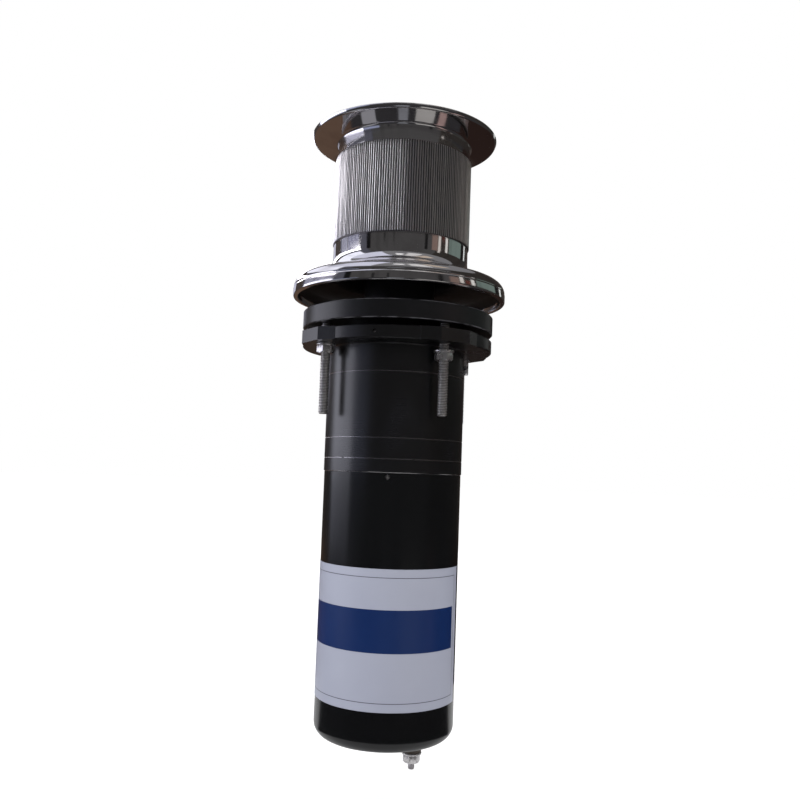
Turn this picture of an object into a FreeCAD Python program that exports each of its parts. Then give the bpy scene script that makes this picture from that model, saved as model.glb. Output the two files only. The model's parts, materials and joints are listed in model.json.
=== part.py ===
"""Deck capstan: a knurled steel warping drum above the deck, driven through two
planetary stages by a direct-current motor that hangs below it.

Frame: millimetres, +Z up along the drum's axis. Z = 0 is the deck seat, the flat
underside of the deck base. The deck is clamped between that seat and the flange of
the gearbox head. Bolt number one stands at the front left, seen from -Y.
"""
import math
import os

import FreeCAD, Part
import Sketcher
from FreeCAD import Vector

SIZES = [
    # the warping drum
    ("rim_radius", 79.2, "outer radius of the drum's top rim"),
    ("rim_top", 169.0, "height of the rim's upper face"),
    ("rim_low", 165.0, "height of the rim's lower edge"),
    ("neck_radius", 56.6, "polished neck under the rim"),
    ("neck_top", 153.0, "where the neck runs into the cove"),
    ("rib_tip_radius", 58.3, "over the gripping ribs"),
    ("rib_root_radius", 57.6, "bottom of the grooves between the ribs"),
    ("rib_top", 148.5, "upper end of the ribbed band"),
    ("rib_low", 73.5, "lower end of the ribbed band"),
    ("rib_count", 180, "ribs round the drum"),
    ("band_radius", 57.3, "polished band under the ribs"),
    ("skirt_radius", 89.7, "outer radius of the lower flange"),
    ("skirt_low", 27.0, "lower lip of the lower flange"),
    ("skirt_edge", 36.0, "top of the flange's upright edge"),
    ("skirt_crown", 47.5, "where the flange's dome meets the drum"),
    ("drum_wall", 50.0, "inside radius of the drum"),
    ("hub_radius", 22.0, "drum hub that sits on the shaft"),
    ("hub_low", 122.0, "lower end of the drum hub"),
    # the shaft and its bearings
    ("shaft_radius", 12.5, "main shaft"),
    ("shaft_top", 166.0, "upper end of the main shaft"),
    ("bearing_radius", 23.5, "outer radius of the shaft bearings"),
    ("bearing_width", 12.0, "width of the shaft bearings"),
    ("fit_gap", 0.05, "radial clearance of shafts, seats and pins"),
    # the deck base and its bolts
    ("base_radius", 80.1, "deck base"),
    ("base_top", 15.0, "upper face of the deck base"),
    ("tower_radius", 30.0, "bearing tower inside the drum"),
    ("tower_top", 62.0, "top of the bearing tower"),
    ("spigot_radius", 44.5, "spigot through the deck"),
    ("deck_gap", 5.0, "space between the deck seat and the gearbox flange"),
    ("bolt_circle", 68.0, "radius of the circle of clamping bolts"),
    ("bolt_radius", 4.0, "an M8 clamping bolt, where it passes through the deck"),
    ("shank_radius", 3.8, "the same bolt inside the base and along its thread"),
    ("head_seat", 9.5, "floor of the pockets that sink the bolt heads"),
    ("bolt_end", -72.5, "lower end of the clamping bolts"),
    ("bolt_angle", -58.5, "bolt number one, degrees from -Y towards +X"),
    # the gearbox
    ("head_radius", 79.5, "clamping flange of the gearbox head"),
    ("ear_reach", 83.0, "flat end of each bolt ear, from the axis"),
    ("head_low", -15.6, "underside of the clamping flange"),
    ("gearbox_radius", 57.5, "outer radius of the gearbox"),
    ("seam_one", -38.0, "head to ring gear"),
    ("seam_two", -90.2, "ring gear to adapter"),
    ("seam_three", -106.6, "adapter to motor bell"),
    ("seam_four", -117.4, "motor bell to motor can"),
    ("gear_module", 2.0, "module of every gear"),
    ("ring_teeth", 48, "teeth of the fixed ring gear"),
    ("planet_teeth", 18, "teeth of each planet"),
    ("sun_teeth", 12, "teeth of each sun"),
    ("planet_circle", 30.0, "radius of the circle of planet pins"),
    ("planet_pin", 6.0, "radius of a planet pin"),
    # the motor
    ("motor_radius", 57.0, "motor can"),
    ("can_wall", 3.0, "wall of the motor can"),
    ("can_bottom", -330.0, "lower face of the motor can"),
    ("can_corner", 11.0, "rounding of the can's lower corner"),
    ("rotor_radius", 43.6, "armature core"),
    ("motor_shaft_radius", 8.5, "motor shaft"),
    ("pinion_seat", 6.0, "thin end of the motor shaft, under the first sun"),
    ("terminal_radius", 3.0, "M6 terminal stud"),
    ("terminal_tip", 2.6, "turned-down end of a terminal stud, below its nut"),
    ("terminal_end", -351.0, "lower end of the terminal studs"),
]

doc = FreeCAD.newDocument("deck_capstan")
sheet = doc.addObject("Spreadsheet::Sheet", "Sizes")
for row, (alias, number, note) in enumerate(SIZES, start=1):
    sheet.set("A%d" % row, alias)
    sheet.set("B%d" % row, str(number))
    sheet.setAlias("B%d" % row, alias)
    sheet.set("C%d" % row, note)
doc.recompute()
size = {alias: float(sheet.get(alias)) for alias, number, note in SIZES}
pieces = []


# ---------------------------------------------------------------- working methods
def value(spec):
    """A size given as a number, as an alias of the sheet, or as (alias, offset)."""
    if isinstance(spec, str):
        return size[spec]
    if isinstance(spec, tuple):
        return size[spec[0]] + spec[1]
    return float(spec)


def shifted(spec, by):
    """The same size with an offset added, whichever way it is given."""
    if isinstance(spec, str):
        return (spec, by)
    if isinstance(spec, tuple):
        return (spec[0], spec[1] + by)
    return spec + by


def formula(spec):
    """The same size as an expression for setExpression, or None for a plain number."""
    if isinstance(spec, str):
        return "Sizes." + spec
    if isinstance(spec, tuple):
        return "Sizes.%s + (%s)" % spec
    return None


def new_body(name):
    body = doc.addObject("PartDesign::Body", name)
    body.Label = name
    pieces.append(body)
    return body


def new_feature(name, shape, spot=Vector(0, 0, 0)):
    """A piece whose shape comes straight from Part's own functions, moved to its spot."""
    feature = doc.addObject("Part::Feature", name)
    feature.Label = name
    feature.Shape = shape
    feature.Placement = FreeCAD.Placement(spot, FreeCAD.Rotation())
    pieces.append(feature)
    return feature


def new_sketch(body, role, name, lift=None):
    sketch = body.newObject("Sketcher::SketchObject", body.Name + "_" + name)
    for plane in body.Origin.OriginFeatures:
        if plane.Role == role:
            sketch.AttachmentSupport = [(plane, "")]
    sketch.MapMode = "FlatFace"
    if lift is not None:
        sketch.AttachmentOffset = FreeCAD.Placement(Vector(0, 0, value(lift)), FreeCAD.Rotation())
        if formula(lift):
            sketch.setExpression("AttachmentOffset.Base.z", formula(lift))
    return sketch


def side_arc(start, end, radius):
    """The short arc between two corners, always counter-clockwise as a sketch wants it.

    A positive radius turns to the left on the way from start to end.
    """
    chord = end - start
    reach = chord.Length / 2
    rise = math.sqrt(max(radius * radius - reach * reach, 0.0))
    left = Vector(-chord.y, chord.x, 0).normalize()
    way = 1 if radius > 0 else -1
    centre = (start + end) * 0.5 + left * (rise * way)
    middle = centre - left * (abs(radius) * way)
    if way > 0:
        return Part.Arc(start, middle, end)
    return Part.Arc(end, middle, start)


def draw(sketch, corners):
    """A closed outline of straight sides, each corner bound to the sheet.

    A corner is (x, y), or (x, y, radius) where the side that arrives is an arc.
    """
    spots = [Vector(value(c[0]), value(c[1]), 0) for c in corners]
    count = len(corners)
    first = sketch.GeometryCount
    rules = []
    bound = []
    ends = []
    for index in range(count):
        nxt = (index + 1) % count
        bend = corners[nxt][2] if len(corners[nxt]) > 2 else 0
        if not bend:
            sketch.addGeometry(Part.LineSegment(spots[index], spots[nxt]), False)
            ends.append((1, 2))
            continue
        sketch.addGeometry(side_arc(spots[index], spots[nxt], bend), False)
        ends.append((1, 2) if bend > 0 else (2, 1))
        rules.append(Sketcher.Constraint("Radius", first + index, abs(bend)))
        bound.append(None)
    for index in range(count):
        nxt = (index + 1) % count
        here, there = first + index, first + nxt
        rules.append(Sketcher.Constraint("Coincident", here, ends[index][1], there, ends[nxt][0]))
        bound.append(None)
        for kind, coordinate, place in (("DistanceX", 0, spots[index].x), ("DistanceY", 1, spots[index].y)):
            rules.append(Sketcher.Constraint(kind, -1, 1, here, ends[index][0], place))
            bound.append(formula(corners[index][coordinate]))
    start = sketch.ConstraintCount
    sketch.addConstraint(rules)
    for index, text in enumerate(bound):
        if text:
            sketch.setExpression("Constraints[%d]" % (start + index), text)


def turn(body, corners, name="profile"):
    """Revolve an outline, drawn as (radius, height), once round the Z axis."""
    sketch = new_sketch(body, "XZ_Plane", name)
    draw(sketch, corners)
    solid = body.newObject("PartDesign::Revolution", body.Name + "_turned")
    solid.Profile = sketch
    solid.ReferenceAxis = (sketch, ["V_Axis"])
    solid.Angle = 360.0
    sketch.Visibility = False
    body.Tip = solid
    doc.recompute()
    return solid


def turned(name, corners):
    body = new_body(name)
    turn(body, corners)
    return body


def ring(name, inner, outer, low, high, soften=0.6):
    """A plain turned ring, such as a bearing or a seal, with softened outer corners."""
    far, up, down = shifted(outer, -soften), shifted(high, -soften), shifted(low, soften)
    corners = [(inner, low), (far, low), (outer, down), (outer, up), (far, high), (inner, high)]
    return turned(name, corners)


def bearing(name, inner, outer, low, width, races=3.2):
    """A shielded ball bearing, with the shield sunk between its two races."""
    inside, outside = value(inner), value(outer)
    bottom, top = value(low), value(low) + width
    sunk = 0.7
    corners = [
        (inside, bottom), (inside + races, bottom), (inside + races, bottom + sunk),
        (outside - races, bottom + sunk), (outside - races, bottom), (outside, bottom),
        (outside, top), (outside - races, top), (outside - races, top - sunk),
        (inside + races, top - sunk), (inside + races, top), (inside, top),
    ]
    return turned(name, corners)


def around(angle, radius, height=0.0):
    """A spot at this angle, in degrees from -Y towards +X."""
    turned_by = math.radians(angle)
    return Vector(radius * math.sin(turned_by), -radius * math.cos(turned_by), height)


def rod(radius, low, high, centre=Vector(0, 0, 0)):
    return Part.makeCylinder(radius, high - low, Vector(centre.x, centre.y, low))


def hexagon(across_flats, low, high, centre, twist=0.0, bevel=0.8):
    """A hexagonal head or nut, with its corners bevelled at both ends."""
    corner = across_flats / math.sqrt(3)
    ring_of = [
        Vector(centre.x + corner * math.cos(math.radians(60 * k + twist)),
               centre.y + corner * math.sin(math.radians(60 * k + twist)), low)
        for k in range(7)
    ]
    prism = Part.Face(Part.makePolygon(ring_of)).extrude(Vector(0, 0, high - low))
    envelope = Part.makeCylinder(corner + 0.02, high - low, Vector(centre.x, centre.y, low))
    rims = [e for e in envelope.Edges if e.Curve.TypeId == "Part::GeomCircle"]
    return prism.common(envelope.makeChamfer(bevel * 0.8, rims))


def bevelled(radius, low, high, centre, bevel):
    """A rod with its lower end bevelled, as bolts and studs have."""
    shaft = rod(radius, low, high, centre)
    rims = [e for e in shaft.Edges if e.Curve.TypeId == "Part::GeomCircle" and e.BoundBox.ZMax < low + 0.01]
    return shaft.makeChamfer(bevel, rims)


def polar(shape, count, start=0.0):
    """Copies of a shape, evenly spaced round the Z axis."""
    copies = []
    for number in range(count):
        copy = shape.copy()
        copy.rotate(Vector(0, 0, 0), Vector(0, 0, 1), start + 360.0 * number / count)
        copies.append(copy)
    return copies


BOLT_ANGLES = [size["bolt_angle"] + 90.0 * number for number in range(4)]
PLANET_ANGLES = [0.0, 120.0, 240.0]


def drill(body, spots, radius, top, deep, name="holes"):
    """Round holes down from a height, as one pocket."""
    sketch = new_sketch(body, "XY_Plane", name, top)
    rules = []
    for index, spot in enumerate(spots):
        sketch.addGeometry(Part.Circle(Vector(spot.x, spot.y, 0), Vector(0, 0, 1), value(radius)), False)
        rules.append(Sketcher.Constraint("DistanceX", -1, 1, index, 3, spot.x))
        rules.append(Sketcher.Constraint("DistanceY", -1, 1, index, 3, spot.y))
        rules.append(Sketcher.Constraint("Radius", index, value(radius)))
    sketch.addConstraint(rules)
    if formula(radius):
        for index in range(len(spots)):
            sketch.setExpression("Constraints[%d]" % (3 * index + 2), formula(radius))
    return sink(body, sketch, deep, name)


def sink(body, sketch, deep, name):
    """Pocket a sketch downwards, and make sure that it did cut."""
    before = body.Shape.Volume
    pocket = body.newObject("PartDesign::Pocket", body.Name + "_" + name + "_pocket")
    pocket.Profile = sketch
    pocket.Length = deep
    sketch.Visibility = False
    body.Tip = pocket
    doc.recompute()
    if body.Shape.Volume > before - 0.01:
        raise RuntimeError("%s: the pocket %s cuts nothing" % (body.Label, name))
    return pocket


def slot(body, x_low, x_high, half_width, top, deep, name="keyway"):
    """A straight-sided slot, open upwards, such as a keyway."""
    sketch = new_sketch(body, "XY_Plane", name, top)
    draw(sketch, [(x_low, -half_width), (x_high, -half_width), (x_high, half_width), (x_low, half_width)])
    return sink(body, sketch, deep, name)


# ---------------------------------------------------------------- gear teeth
PRESSURE = math.radians(25.0)
TIP, ROOT = 0.8, 1.0
FLANK_STEPS = 2


def involute(angle):
    return math.tan(angle) - angle


def tooth_outline(teeth, tip, root, thinner, start):
    """The outline of an involute gear, with a tooth centred at the start angle.

    The flanks are thinner than half a pitch by the given backlash; a negative
    backlash widens them, for the broach that cuts an internal ring.
    """
    pitch = size["gear_module"] * teeth / 2
    base = pitch * math.cos(PRESSURE)
    half = math.pi / (2 * teeth) - thinner / pitch + involute(PRESSURE)
    foot = max(base, root)
    flank = [foot + (tip - foot) * step / FLANK_STEPS for step in range(FLANK_STEPS + 1)]
    side = [(radius, half - involute(math.acos(min(1.0, base / radius)))) for radius in flank]
    if root < base:
        side.insert(0, (root, side[0][1]))
    outline = []
    for number in range(teeth):
        middle = math.radians(start) + 2 * math.pi * number / teeth
        for radius, lean in side:
            outline.append(Vector(radius * math.cos(middle - lean), radius * math.sin(middle - lean), 0))
        for radius, lean in reversed(side):
            outline.append(Vector(radius * math.cos(middle + lean), radius * math.sin(middle + lean), 0))
    outline.append(outline[0])
    return outline


def toothed(teeth, low, high, start=0.0, thinner=0.09):
    """A solid spur gear about the Z axis."""
    pitch = size["gear_module"] * teeth / 2
    tip = pitch + TIP * size["gear_module"]
    root = pitch - ROOT * size["gear_module"]
    blank = Part.Face(Part.makePolygon(tooth_outline(teeth, tip, root, thinner, start)))
    blank.translate(Vector(0, 0, low))
    return blank.extrude(Vector(0, 0, high - low))


def planet_gear(angle, low, high):
    """A planet about the Z axis, with a space facing the sun and the ring once it is on its pin."""
    teeth = int(size["planet_teeth"])
    gear = toothed(teeth, low, high, angle + 180.0 / teeth)
    return gear.cut(rod(size["planet_pin"] + size["fit_gap"], low - 1, high + 1))


PLANET_SPOTS = [
    Vector(size["planet_circle"] * math.cos(math.radians(angle)),
           size["planet_circle"] * math.sin(math.radians(angle)), 0)
    for angle in PLANET_ANGLES
]


def planet_set(stage, low, high):
    """The three planets of one stage, each a piece of its own on its pin."""
    for number, (angle, spot) in enumerate(zip(PLANET_ANGLES, PLANET_SPOTS), start=1):
        new_feature("%s_planet_%d" % (stage, number), planet_gear(angle, low, high), spot)


# ---------------------------------------------------------------- the warping drum
drum_blank = doc.addObject("PartDesign::Body", "drum_blank")
turn(drum_blank, [
    (("shaft_radius", 0.05), "hub_low"),
    ("hub_radius", "hub_low"),
    ("hub_radius", 151.0),
    (("hub_radius", 5.0), 156.0, -5.0),
    (("drum_wall", -6.0), 156.0),
    ("drum_wall", 150.0, -6.0),
    ("drum_wall", 50.0),
    (56.0, ("skirt_crown", -5.0), 8.0),
    (79.0, ("skirt_edge", 2.0)),
    (("skirt_radius", -4.0), "skirt_low", -14.0),
    (("skirt_radius", -1.5), "skirt_low"),
    ("skirt_radius", ("skirt_low", 1.5), 1.5),
    ("skirt_radius", "skirt_edge"),
    (82.5, 43.6, 9.5),
    (66.0, ("skirt_crown", -0.4), 60.0),
    ("band_radius", 56.0, -9.0),
    ("band_radius", ("rib_low", -0.6)),
    ("rib_root_radius", "rib_low"),
    ("rib_root_radius", "rib_top"),
    ("neck_radius", ("rib_top", 0.8)),
    ("neck_radius", "neck_top"),
    (66.5, 164.2, -12.5),
    (("rim_radius", -2.0), "rim_low"),
    (("rim_radius", -2.0), "rim_top", 2.2),
    (62.0, ("rim_top", -0.4)),
    (56.0, ("rim_top", -3.0)),
    (29.2, ("rim_top", -3.0)),
    (29.2, 162.0),
    (("shaft_radius", 0.05), 162.0),
])
slot(drum_blank, 10.0, 15.6, 4.02, 162.0, 40.0)

rib_ring = []
rib_pitch = 2 * math.pi / size["rib_count"]
for number in range(int(size["rib_count"])):
    middle = number * rib_pitch
    for lean, reach in ((-0.46, "rib_root_radius"), (-0.16, "rib_tip_radius"),
                        (0.16, "rib_tip_radius"), (0.46, "rib_root_radius")):
        angle = middle + lean * rib_pitch
        rib_ring.append(Vector(size[reach] * math.cos(angle), size[reach] * math.sin(angle), size["rib_low"]))
rib_ring.append(rib_ring[0])
ribs = Part.Face(Part.makePolygon(rib_ring)).extrude(Vector(0, 0, size["rib_top"] - size["rib_low"]))
ribs = ribs.cut(rod(size["band_radius"] - 2.0, 0, 200))
new_feature("drum", drum_blank.Shape.fuse(ribs))

cap = new_body("drum_cap")
turn(cap, [
    (10.1, 162.1), (28.6, 162.1), (28.6, 168.0), (26.0, 171.5, 5.0), (14.0, 176.0, 30.0),
    (0.0, 176.0), (0.0, 168.0), (10.1, 168.0),
])
socket = new_sketch(cap, "XY_Plane", "handle_socket", 176.0)
hex_corner = 17.0 / math.sqrt(3)
draw(socket, [
    (hex_corner * math.cos(math.radians(60 * k)), hex_corner * math.sin(math.radians(60 * k)))
    for k in range(6)
])
sink(cap, socket, 7.0, "handle_socket")

# the output shaft, forged in one with the carrier of the second planetary stage
shaft = new_body("output_shaft")
turn(shaft, [
    (0.0, -48.2), (39.0, -48.2), (40.0, -47.2), (40.0, -41.2), (39.0, -40.2), (16.0, -40.2),
    (16.0, -36.5), ("shaft_radius", -36.5), ("shaft_radius", 159.0), (10.0, 160.5),
    (10.0, ("shaft_top", -1.0)), (9.0, "shaft_top"), (0.0, "shaft_top"),
])
drill(shaft, PLANET_SPOTS, ("planet_pin", 0.02), -41.2, 8.0, "pin_seats")
slot(shaft, 8.5, 14.0, 4.02, 156.0, 30.0)

key = doc.addObject("Part::Box", "drum_key")
key.Label = "drum_key"
key.Length, key.Width, key.Height = 6.9, 8.0, 29.8
key.Placement = FreeCAD.Placement(Vector(8.55, -4.0, 126.1), FreeCAD.Rotation())
pieces.append(key)


def pin_set(name, top, face, low):
    """Three planet pins, each with a collar that stands off the carrier's face."""
    group = []
    for spot in PLANET_SPOTS:
        pin = rod(size["planet_pin"], low, top, spot)
        collar = rod(size["planet_pin"] + 2.5, face - 1.2, face, spot)
        group.append(pin.fuse(collar).removeSplitter())
    new_feature(name, Part.makeCompound(group))


pin_set("output_planet_pins", -41.3, -48.2, -66.6)
planet_set("output", -65.6, -49.6)

# the carrier of the first stage drives the sun of the second
carrier = new_body("input_carrier")
turn(carrier, [
    (7.05, -74.2), (39.0, -74.2), (40.0, -73.2), (40.0, -69.2), (39.0, -68.2), (7.05, -68.2),
])
drill(carrier, PLANET_SPOTS, ("planet_pin", 0.02), -68.2, 7.0, "pin_seats")
second_sun = toothed(int(size["sun_teeth"]), -66.4, -50.0)
second_sun = second_sun.fuse([rod(9.6, -68.2, -66.4), rod(7.0, -74.0, -68.2)])
new_feature("output_sun", second_sun.removeSplitter())
pin_set("input_planet_pins", -68.4, -74.2, -88.5)
planet_set("input", -87.6, -75.6)

# ---------------------------------------------------------------- the deck base
base = new_body("deck_base")
turn(base, [
    (("bearing_radius", 0.05), -5.0), ("spigot_radius", -5.0), ("spigot_radius", 0.0),
    (("base_radius", -0.8), 0.0), ("base_radius", 0.8), ("base_radius", ("base_top", -1.0)),
    (("base_radius", -1.0), "base_top"), (("tower_radius", 6.0), "base_top"),
    ("tower_radius", ("base_top", 6.0), -6.0), ("tower_radius", ("tower_top", -1.5)),
    (("tower_radius", -1.5), "tower_top"), (("bearing_radius", 0.05), "tower_top"),
    (("bearing_radius", 0.05), 43.0), (19.0, 43.0), (19.0, 7.4), (("bearing_radius", 0.05), 7.4),
])
bolt_spots = [around(a, size["bolt_circle"]) for a in BOLT_ANGLES]
drill(base, bolt_spots, ("bolt_radius", 0.05), "base_top", 16.0, "bolt_holes")
drill(base, bolt_spots, 8.3, "base_top", size["base_top"] - size["head_seat"], "head_pockets")
bearing("base_bearing_lower", ("shaft_radius", 0.05), "bearing_radius", -4.7, 12.0)
bearing("base_bearing_upper", ("shaft_radius", 0.05), "bearing_radius", 43.1, 12.0)
ring("base_seal", ("shaft_radius", 0.05), "bearing_radius", 55.3, 61.6, 0.5)

# the second nut isn't run up yet, so it hangs below the flange with its washer
SLACK = [0.0, 5.2, 0.0, 0.0]
bolts, washers, nuts = [], [], []
for angle, spot, lowered in zip(BOLT_ANGLES, bolt_spots, SLACK):
    head = hexagon(13.0, size["head_seat"], size["head_seat"] + 5.3, spot, angle)
    shank = rod(size["shank_radius"], 0.0, size["head_seat"], spot)
    in_deck = rod(size["bolt_radius"], -4.9, 0.0, spot)
    thread = bevelled(size["shank_radius"], size["bolt_end"], -4.9, spot, 0.9)
    bolts.append(head.fuse([shank, in_deck, thread]).removeSplitter())
    under = size["head_low"] - lowered
    washer = rod(8.0, under - 1.6, under, spot)
    washers.append(washer.cut(rod(size["bolt_radius"] + 0.2, under - 3, under + 1, spot)))
    nut = hexagon(13.0, under - 8.1, under - 1.6, spot, angle + 12.0)
    nuts.append(nut.cut(rod(size["shank_radius"] + 0.02, under - 9, under, spot)))
new_feature("clamping_bolts", Part.makeCompound(bolts))
new_feature("flange_washers", Part.makeCompound(washers))
new_feature("flange_nuts", Part.makeCompound(nuts))

# ---------------------------------------------------------------- the gearbox
head = doc.addObject("PartDesign::Body", "head_blank")
turn(head, [
    (("bearing_radius", 0.05), "seam_one"), (("gearbox_radius", -0.4), "seam_one"),
    ("gearbox_radius", ("seam_one", 0.4)), ("gearbox_radius", ("head_low", -1.5)),
    (("gearbox_radius", 1.5), "head_low", -1.5), (("head_radius", -0.8), "head_low"),
    ("head_radius", ("head_low", 0.8)), ("head_radius", -6.0), (("head_radius", -0.8), -5.2),
    (45.5, -5.2), (45.5, -5.0), (20.05, -5.0), (20.05, -12.4), (17.0, -12.4), (17.0, -24.0),
    (("bearing_radius", 0.05), -24.0),
])
ear_sketch = new_sketch(head, "XY_Plane", "ear", -5.2)
ear_turn = FreeCAD.Rotation(Vector(0, 0, 1), size["bolt_angle"] - 90.0)
ear_corners = [(60.0, -30.0), (75.0, -27.0), (value("ear_reach"), -13.5),
               (value("ear_reach"), 13.5), (75.0, 27.0), (60.0, 30.0)]
ear_spots = [ear_turn.multVec(Vector(x, y, 0)) for x, y in ear_corners]
draw(ear_sketch, [(spot.x, spot.y) for spot in ear_spots])
ear = head.newObject("PartDesign::Pad", "gearbox_head_ear")
ear.Profile = ear_sketch
ear.Length = 10.4
ear.Reversed = True
ears = head.newObject("PartDesign::PolarPattern", "gearbox_head_ears")
ears.Originals = [ear]
ears.Axis = (ear_sketch, ["N_Axis"])
ears.Angle = 360.0
ears.Occurrences = 4
head.Tip = ears
doc.recompute()
drill(head, bolt_spots, ("bolt_radius", 0.3), -5.0, 12.0, "bolt_holes")
screw_angles = [15.0 + 60.0 * number for number in range(6)]
screw_spots = [around(a, 53.7) for a in screw_angles]
drill(head, screw_spots, 2.05, -25.6, 13.0, "screw_holes")


def sideways(angle, height, radius, inner, outer):
    """A rod that lies along the radius at this angle, between two distances."""
    spot = around(angle, inner, height)
    return Part.makeCylinder(radius, outer - inner, spot, around(angle, 1.0))


PLUG = (82.0, -30.0)
SET_SCREW = (-14.0, -10.3)
plug_hole = sideways(PLUG[0], PLUG[1], 2.55, 46.0, 60.0)
set_screw_hole = sideways(SET_SCREW[0], SET_SCREW[1], 1.55, 68.0, 90.0)
new_feature("gearbox_head", head.Shape.cut([plug_hole, set_screw_hole]))
plug_head = sideways(PLUG[0], PLUG[1], 3.9, 57.6, 60.8)
plug_stem = sideways(PLUG[0], PLUG[1], 2.5, 47.0, 57.6)
new_feature("oil_plug", plug_head.fuse(plug_stem).removeSplitter())
new_feature("flange_set_screw", sideways(SET_SCREW[0], SET_SCREW[1], 1.5, 70.0, 79.2))

bearing("head_bearing", ("shaft_radius", 0.05), "bearing_radius", -36.2, 12.0)
ring("head_seal", ("shaft_radius", 0.05), 20.0, -12.3, -5.4, 0.5)

ring_blank = rod(size["gearbox_radius"], size["seam_two"], size["seam_one"])
rims = [edge for edge in ring_blank.Edges if edge.Curve.TypeId == "Part::GeomCircle"]
ring_blank = ring_blank.makeChamfer(0.4, rims)
ring_pitch = size["gear_module"] * size["ring_teeth"] / 2
broach = tooth_outline(int(size["ring_teeth"]), ring_pitch + 1.05 * size["gear_module"],
                       ring_pitch - TIP * size["gear_module"], -0.09, 3.75)
broach = Part.Face(Part.makePolygon(broach))
broach.translate(Vector(0, 0, size["seam_two"] - 1))
broach = broach.extrude(Vector(0, 0, size["seam_one"] - size["seam_two"] + 2))
screw_tunnels = [rod(2.15, size["seam_two"] - 1, size["seam_one"] + 1, spot) for spot in screw_spots]
new_feature("ring_gear_housing", ring_blank.cut([broach] + screw_tunnels))

adapter = new_body("motor_adapter")
turn(adapter, [
    (13.0, "seam_three"), (("gearbox_radius", -0.4), "seam_three"), ("gearbox_radius", ("seam_three", 0.4)),
    ("gearbox_radius", ("seam_two", -0.4)), (("gearbox_radius", -0.4), "seam_two"), (15.05, "seam_two"),
    (15.05, -97.6), (13.0, -97.6),
])
drill(adapter, screw_spots, 2.15, "seam_two", 20.0, "screw_holes")
drill(adapter, screw_spots, 3.7, ("seam_three", 4.4), 5.0, "screw_heads")
bell_spots = [around(a, 32.0) for a in (45.0, 135.0, 225.0, 315.0)]
drill(adapter, bell_spots, 2.55, ("seam_three", 7.0), 7.6, "bell_screw_holes")
ring("adapter_seal", ("motor_shaft_radius", 0.05), 15.0, -97.4, -90.8, 0.5)

screws = []
for spot in screw_spots:
    stem = rod(2.0, size["seam_three"] + 4.4, -26.0, spot)
    cylinder_head = rod(3.5, size["seam_three"] + 0.4, size["seam_three"] + 4.4, spot)
    screws.append(stem.fuse(cylinder_head).removeSplitter())
new_feature("housing_screws", Part.makeCompound(screws))

# ---------------------------------------------------------------- the motor
bell = doc.addObject("PartDesign::Body", "bell_blank")
turn(bell, [
    (12.0, -120.0), (49.0, -120.0), (49.0, -127.4), (53.9, -127.4), (53.9, "seam_four"),
    (("motor_radius", 0.1), "seam_four"), ("gearbox_radius", ("seam_four", 0.4)),
    ("gearbox_radius", ("seam_three", -0.4)), (("gearbox_radius", -0.4), "seam_three"),
    (17.55, "seam_three"), (17.55, -116.8), (12.0, -116.8),
])
drill(bell, bell_spots, 2.6, "seam_three", 20.0, "screw_holes")
CAN_SCREWS = [-5.0 + 90.0 * number for number in range(4)]
can_screw_height = size["seam_four"] - 3.6
screw_seats = [sideways(a, can_screw_height, 2.05, 50.0, 60.0) for a in CAN_SCREWS]
new_feature("motor_bell", bell.Shape.cut(screw_seats))
bearing("motor_bearing_front", ("motor_shaft_radius", 0.05), 17.5, -116.7, 10.0, 2.6)

can = doc.addObject("PartDesign::Body", "can_blank")
inside = size["motor_radius"] - size["can_wall"]
floor = size["can_bottom"] + 4.0
turn(can, [
    (0.0, "can_bottom"), (("motor_radius", -size["can_corner"]), "can_bottom"),
    ("motor_radius", ("can_bottom", size["can_corner"]), size["can_corner"]),
    ("motor_radius", ("seam_four", -0.4)), (("motor_radius", -0.4), "seam_four"), (inside, "seam_four"),
    (inside, floor + 8.0), (inside - 8.0, floor, -8.0),
    (21.0, floor), (21.0, -315.2), (17.55, -315.2), (17.55, floor), (0.0, floor),
])
TERMINALS = [Vector(23.0, -19.0, 0), Vector(23.0, 19.0, 0)]
drill(can, TERMINALS, 4.55, floor, 5.0, "terminal_holes")
can_holes = [sideways(a, can_screw_height, 2.05, 50.0, 60.0) for a in CAN_SCREWS]
new_feature("motor_can", can.Shape.cut(can_holes))
bearing("motor_bearing_rear", 7.55, 17.5, -325.9, 10.5, 2.8)
new_feature("can_screws", Part.makeCompound(
    [sideways(a, can_screw_height, 2.0, 50.6, size["motor_radius"] - 0.1) for a in CAN_SCREWS]))

bell_screws = []
for spot in bell_spots:
    bell_screws.append(rod(2.5, -120.0, -100.0, spot).fuse(rod(4.2, -124.0, -120.0, spot)).removeSplitter())
new_feature("bell_screws", Part.makeCompound(bell_screws))

magnet_ring = rod(inside - 0.1, -285.0, -170.0).cut(rod(size["rotor_radius"] + 0.9, -290.0, -160.0))
MAGNET_SPREAD = math.radians(38.0)
far_x, far_y = 90.0 * math.cos(MAGNET_SPREAD), 90.0 * math.sin(MAGNET_SPREAD)
wedge = Part.makePolygon([Vector(0, 0, -285.0), Vector(far_x, -far_y, -285.0),
                          Vector(far_x, far_y, -285.0), Vector(0, 0, -285.0)])
magnet = magnet_ring.common(Part.Face(wedge).extrude(Vector(0, 0, 115.0)))
new_feature("field_magnets", Part.makeCompound(polar(magnet, 4, 45.0)))

motor_shaft = turned("motor_shaft", [
    (0.0, -325.6), (7.0, -325.6), (7.5, -325.1), (7.5, -314.8), ("motor_shaft_radius", -314.8),
    ("motor_shaft_radius", -89.6), ("pinion_seat", -89.6), ("pinion_seat", -76.4),
    (("pinion_seat", -0.5), -75.9), (0.0, -75.9),
])
pinion = toothed(int(size["sun_teeth"]), -88.2, -75.8).cut(rod(size["pinion_seat"] + 0.02, -95, -70))
new_feature("sun_pinion", pinion.fuse(rod(9.6, -89.5, -88.2).cut(rod(size["pinion_seat"] + 0.02, -95, -70))))

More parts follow.
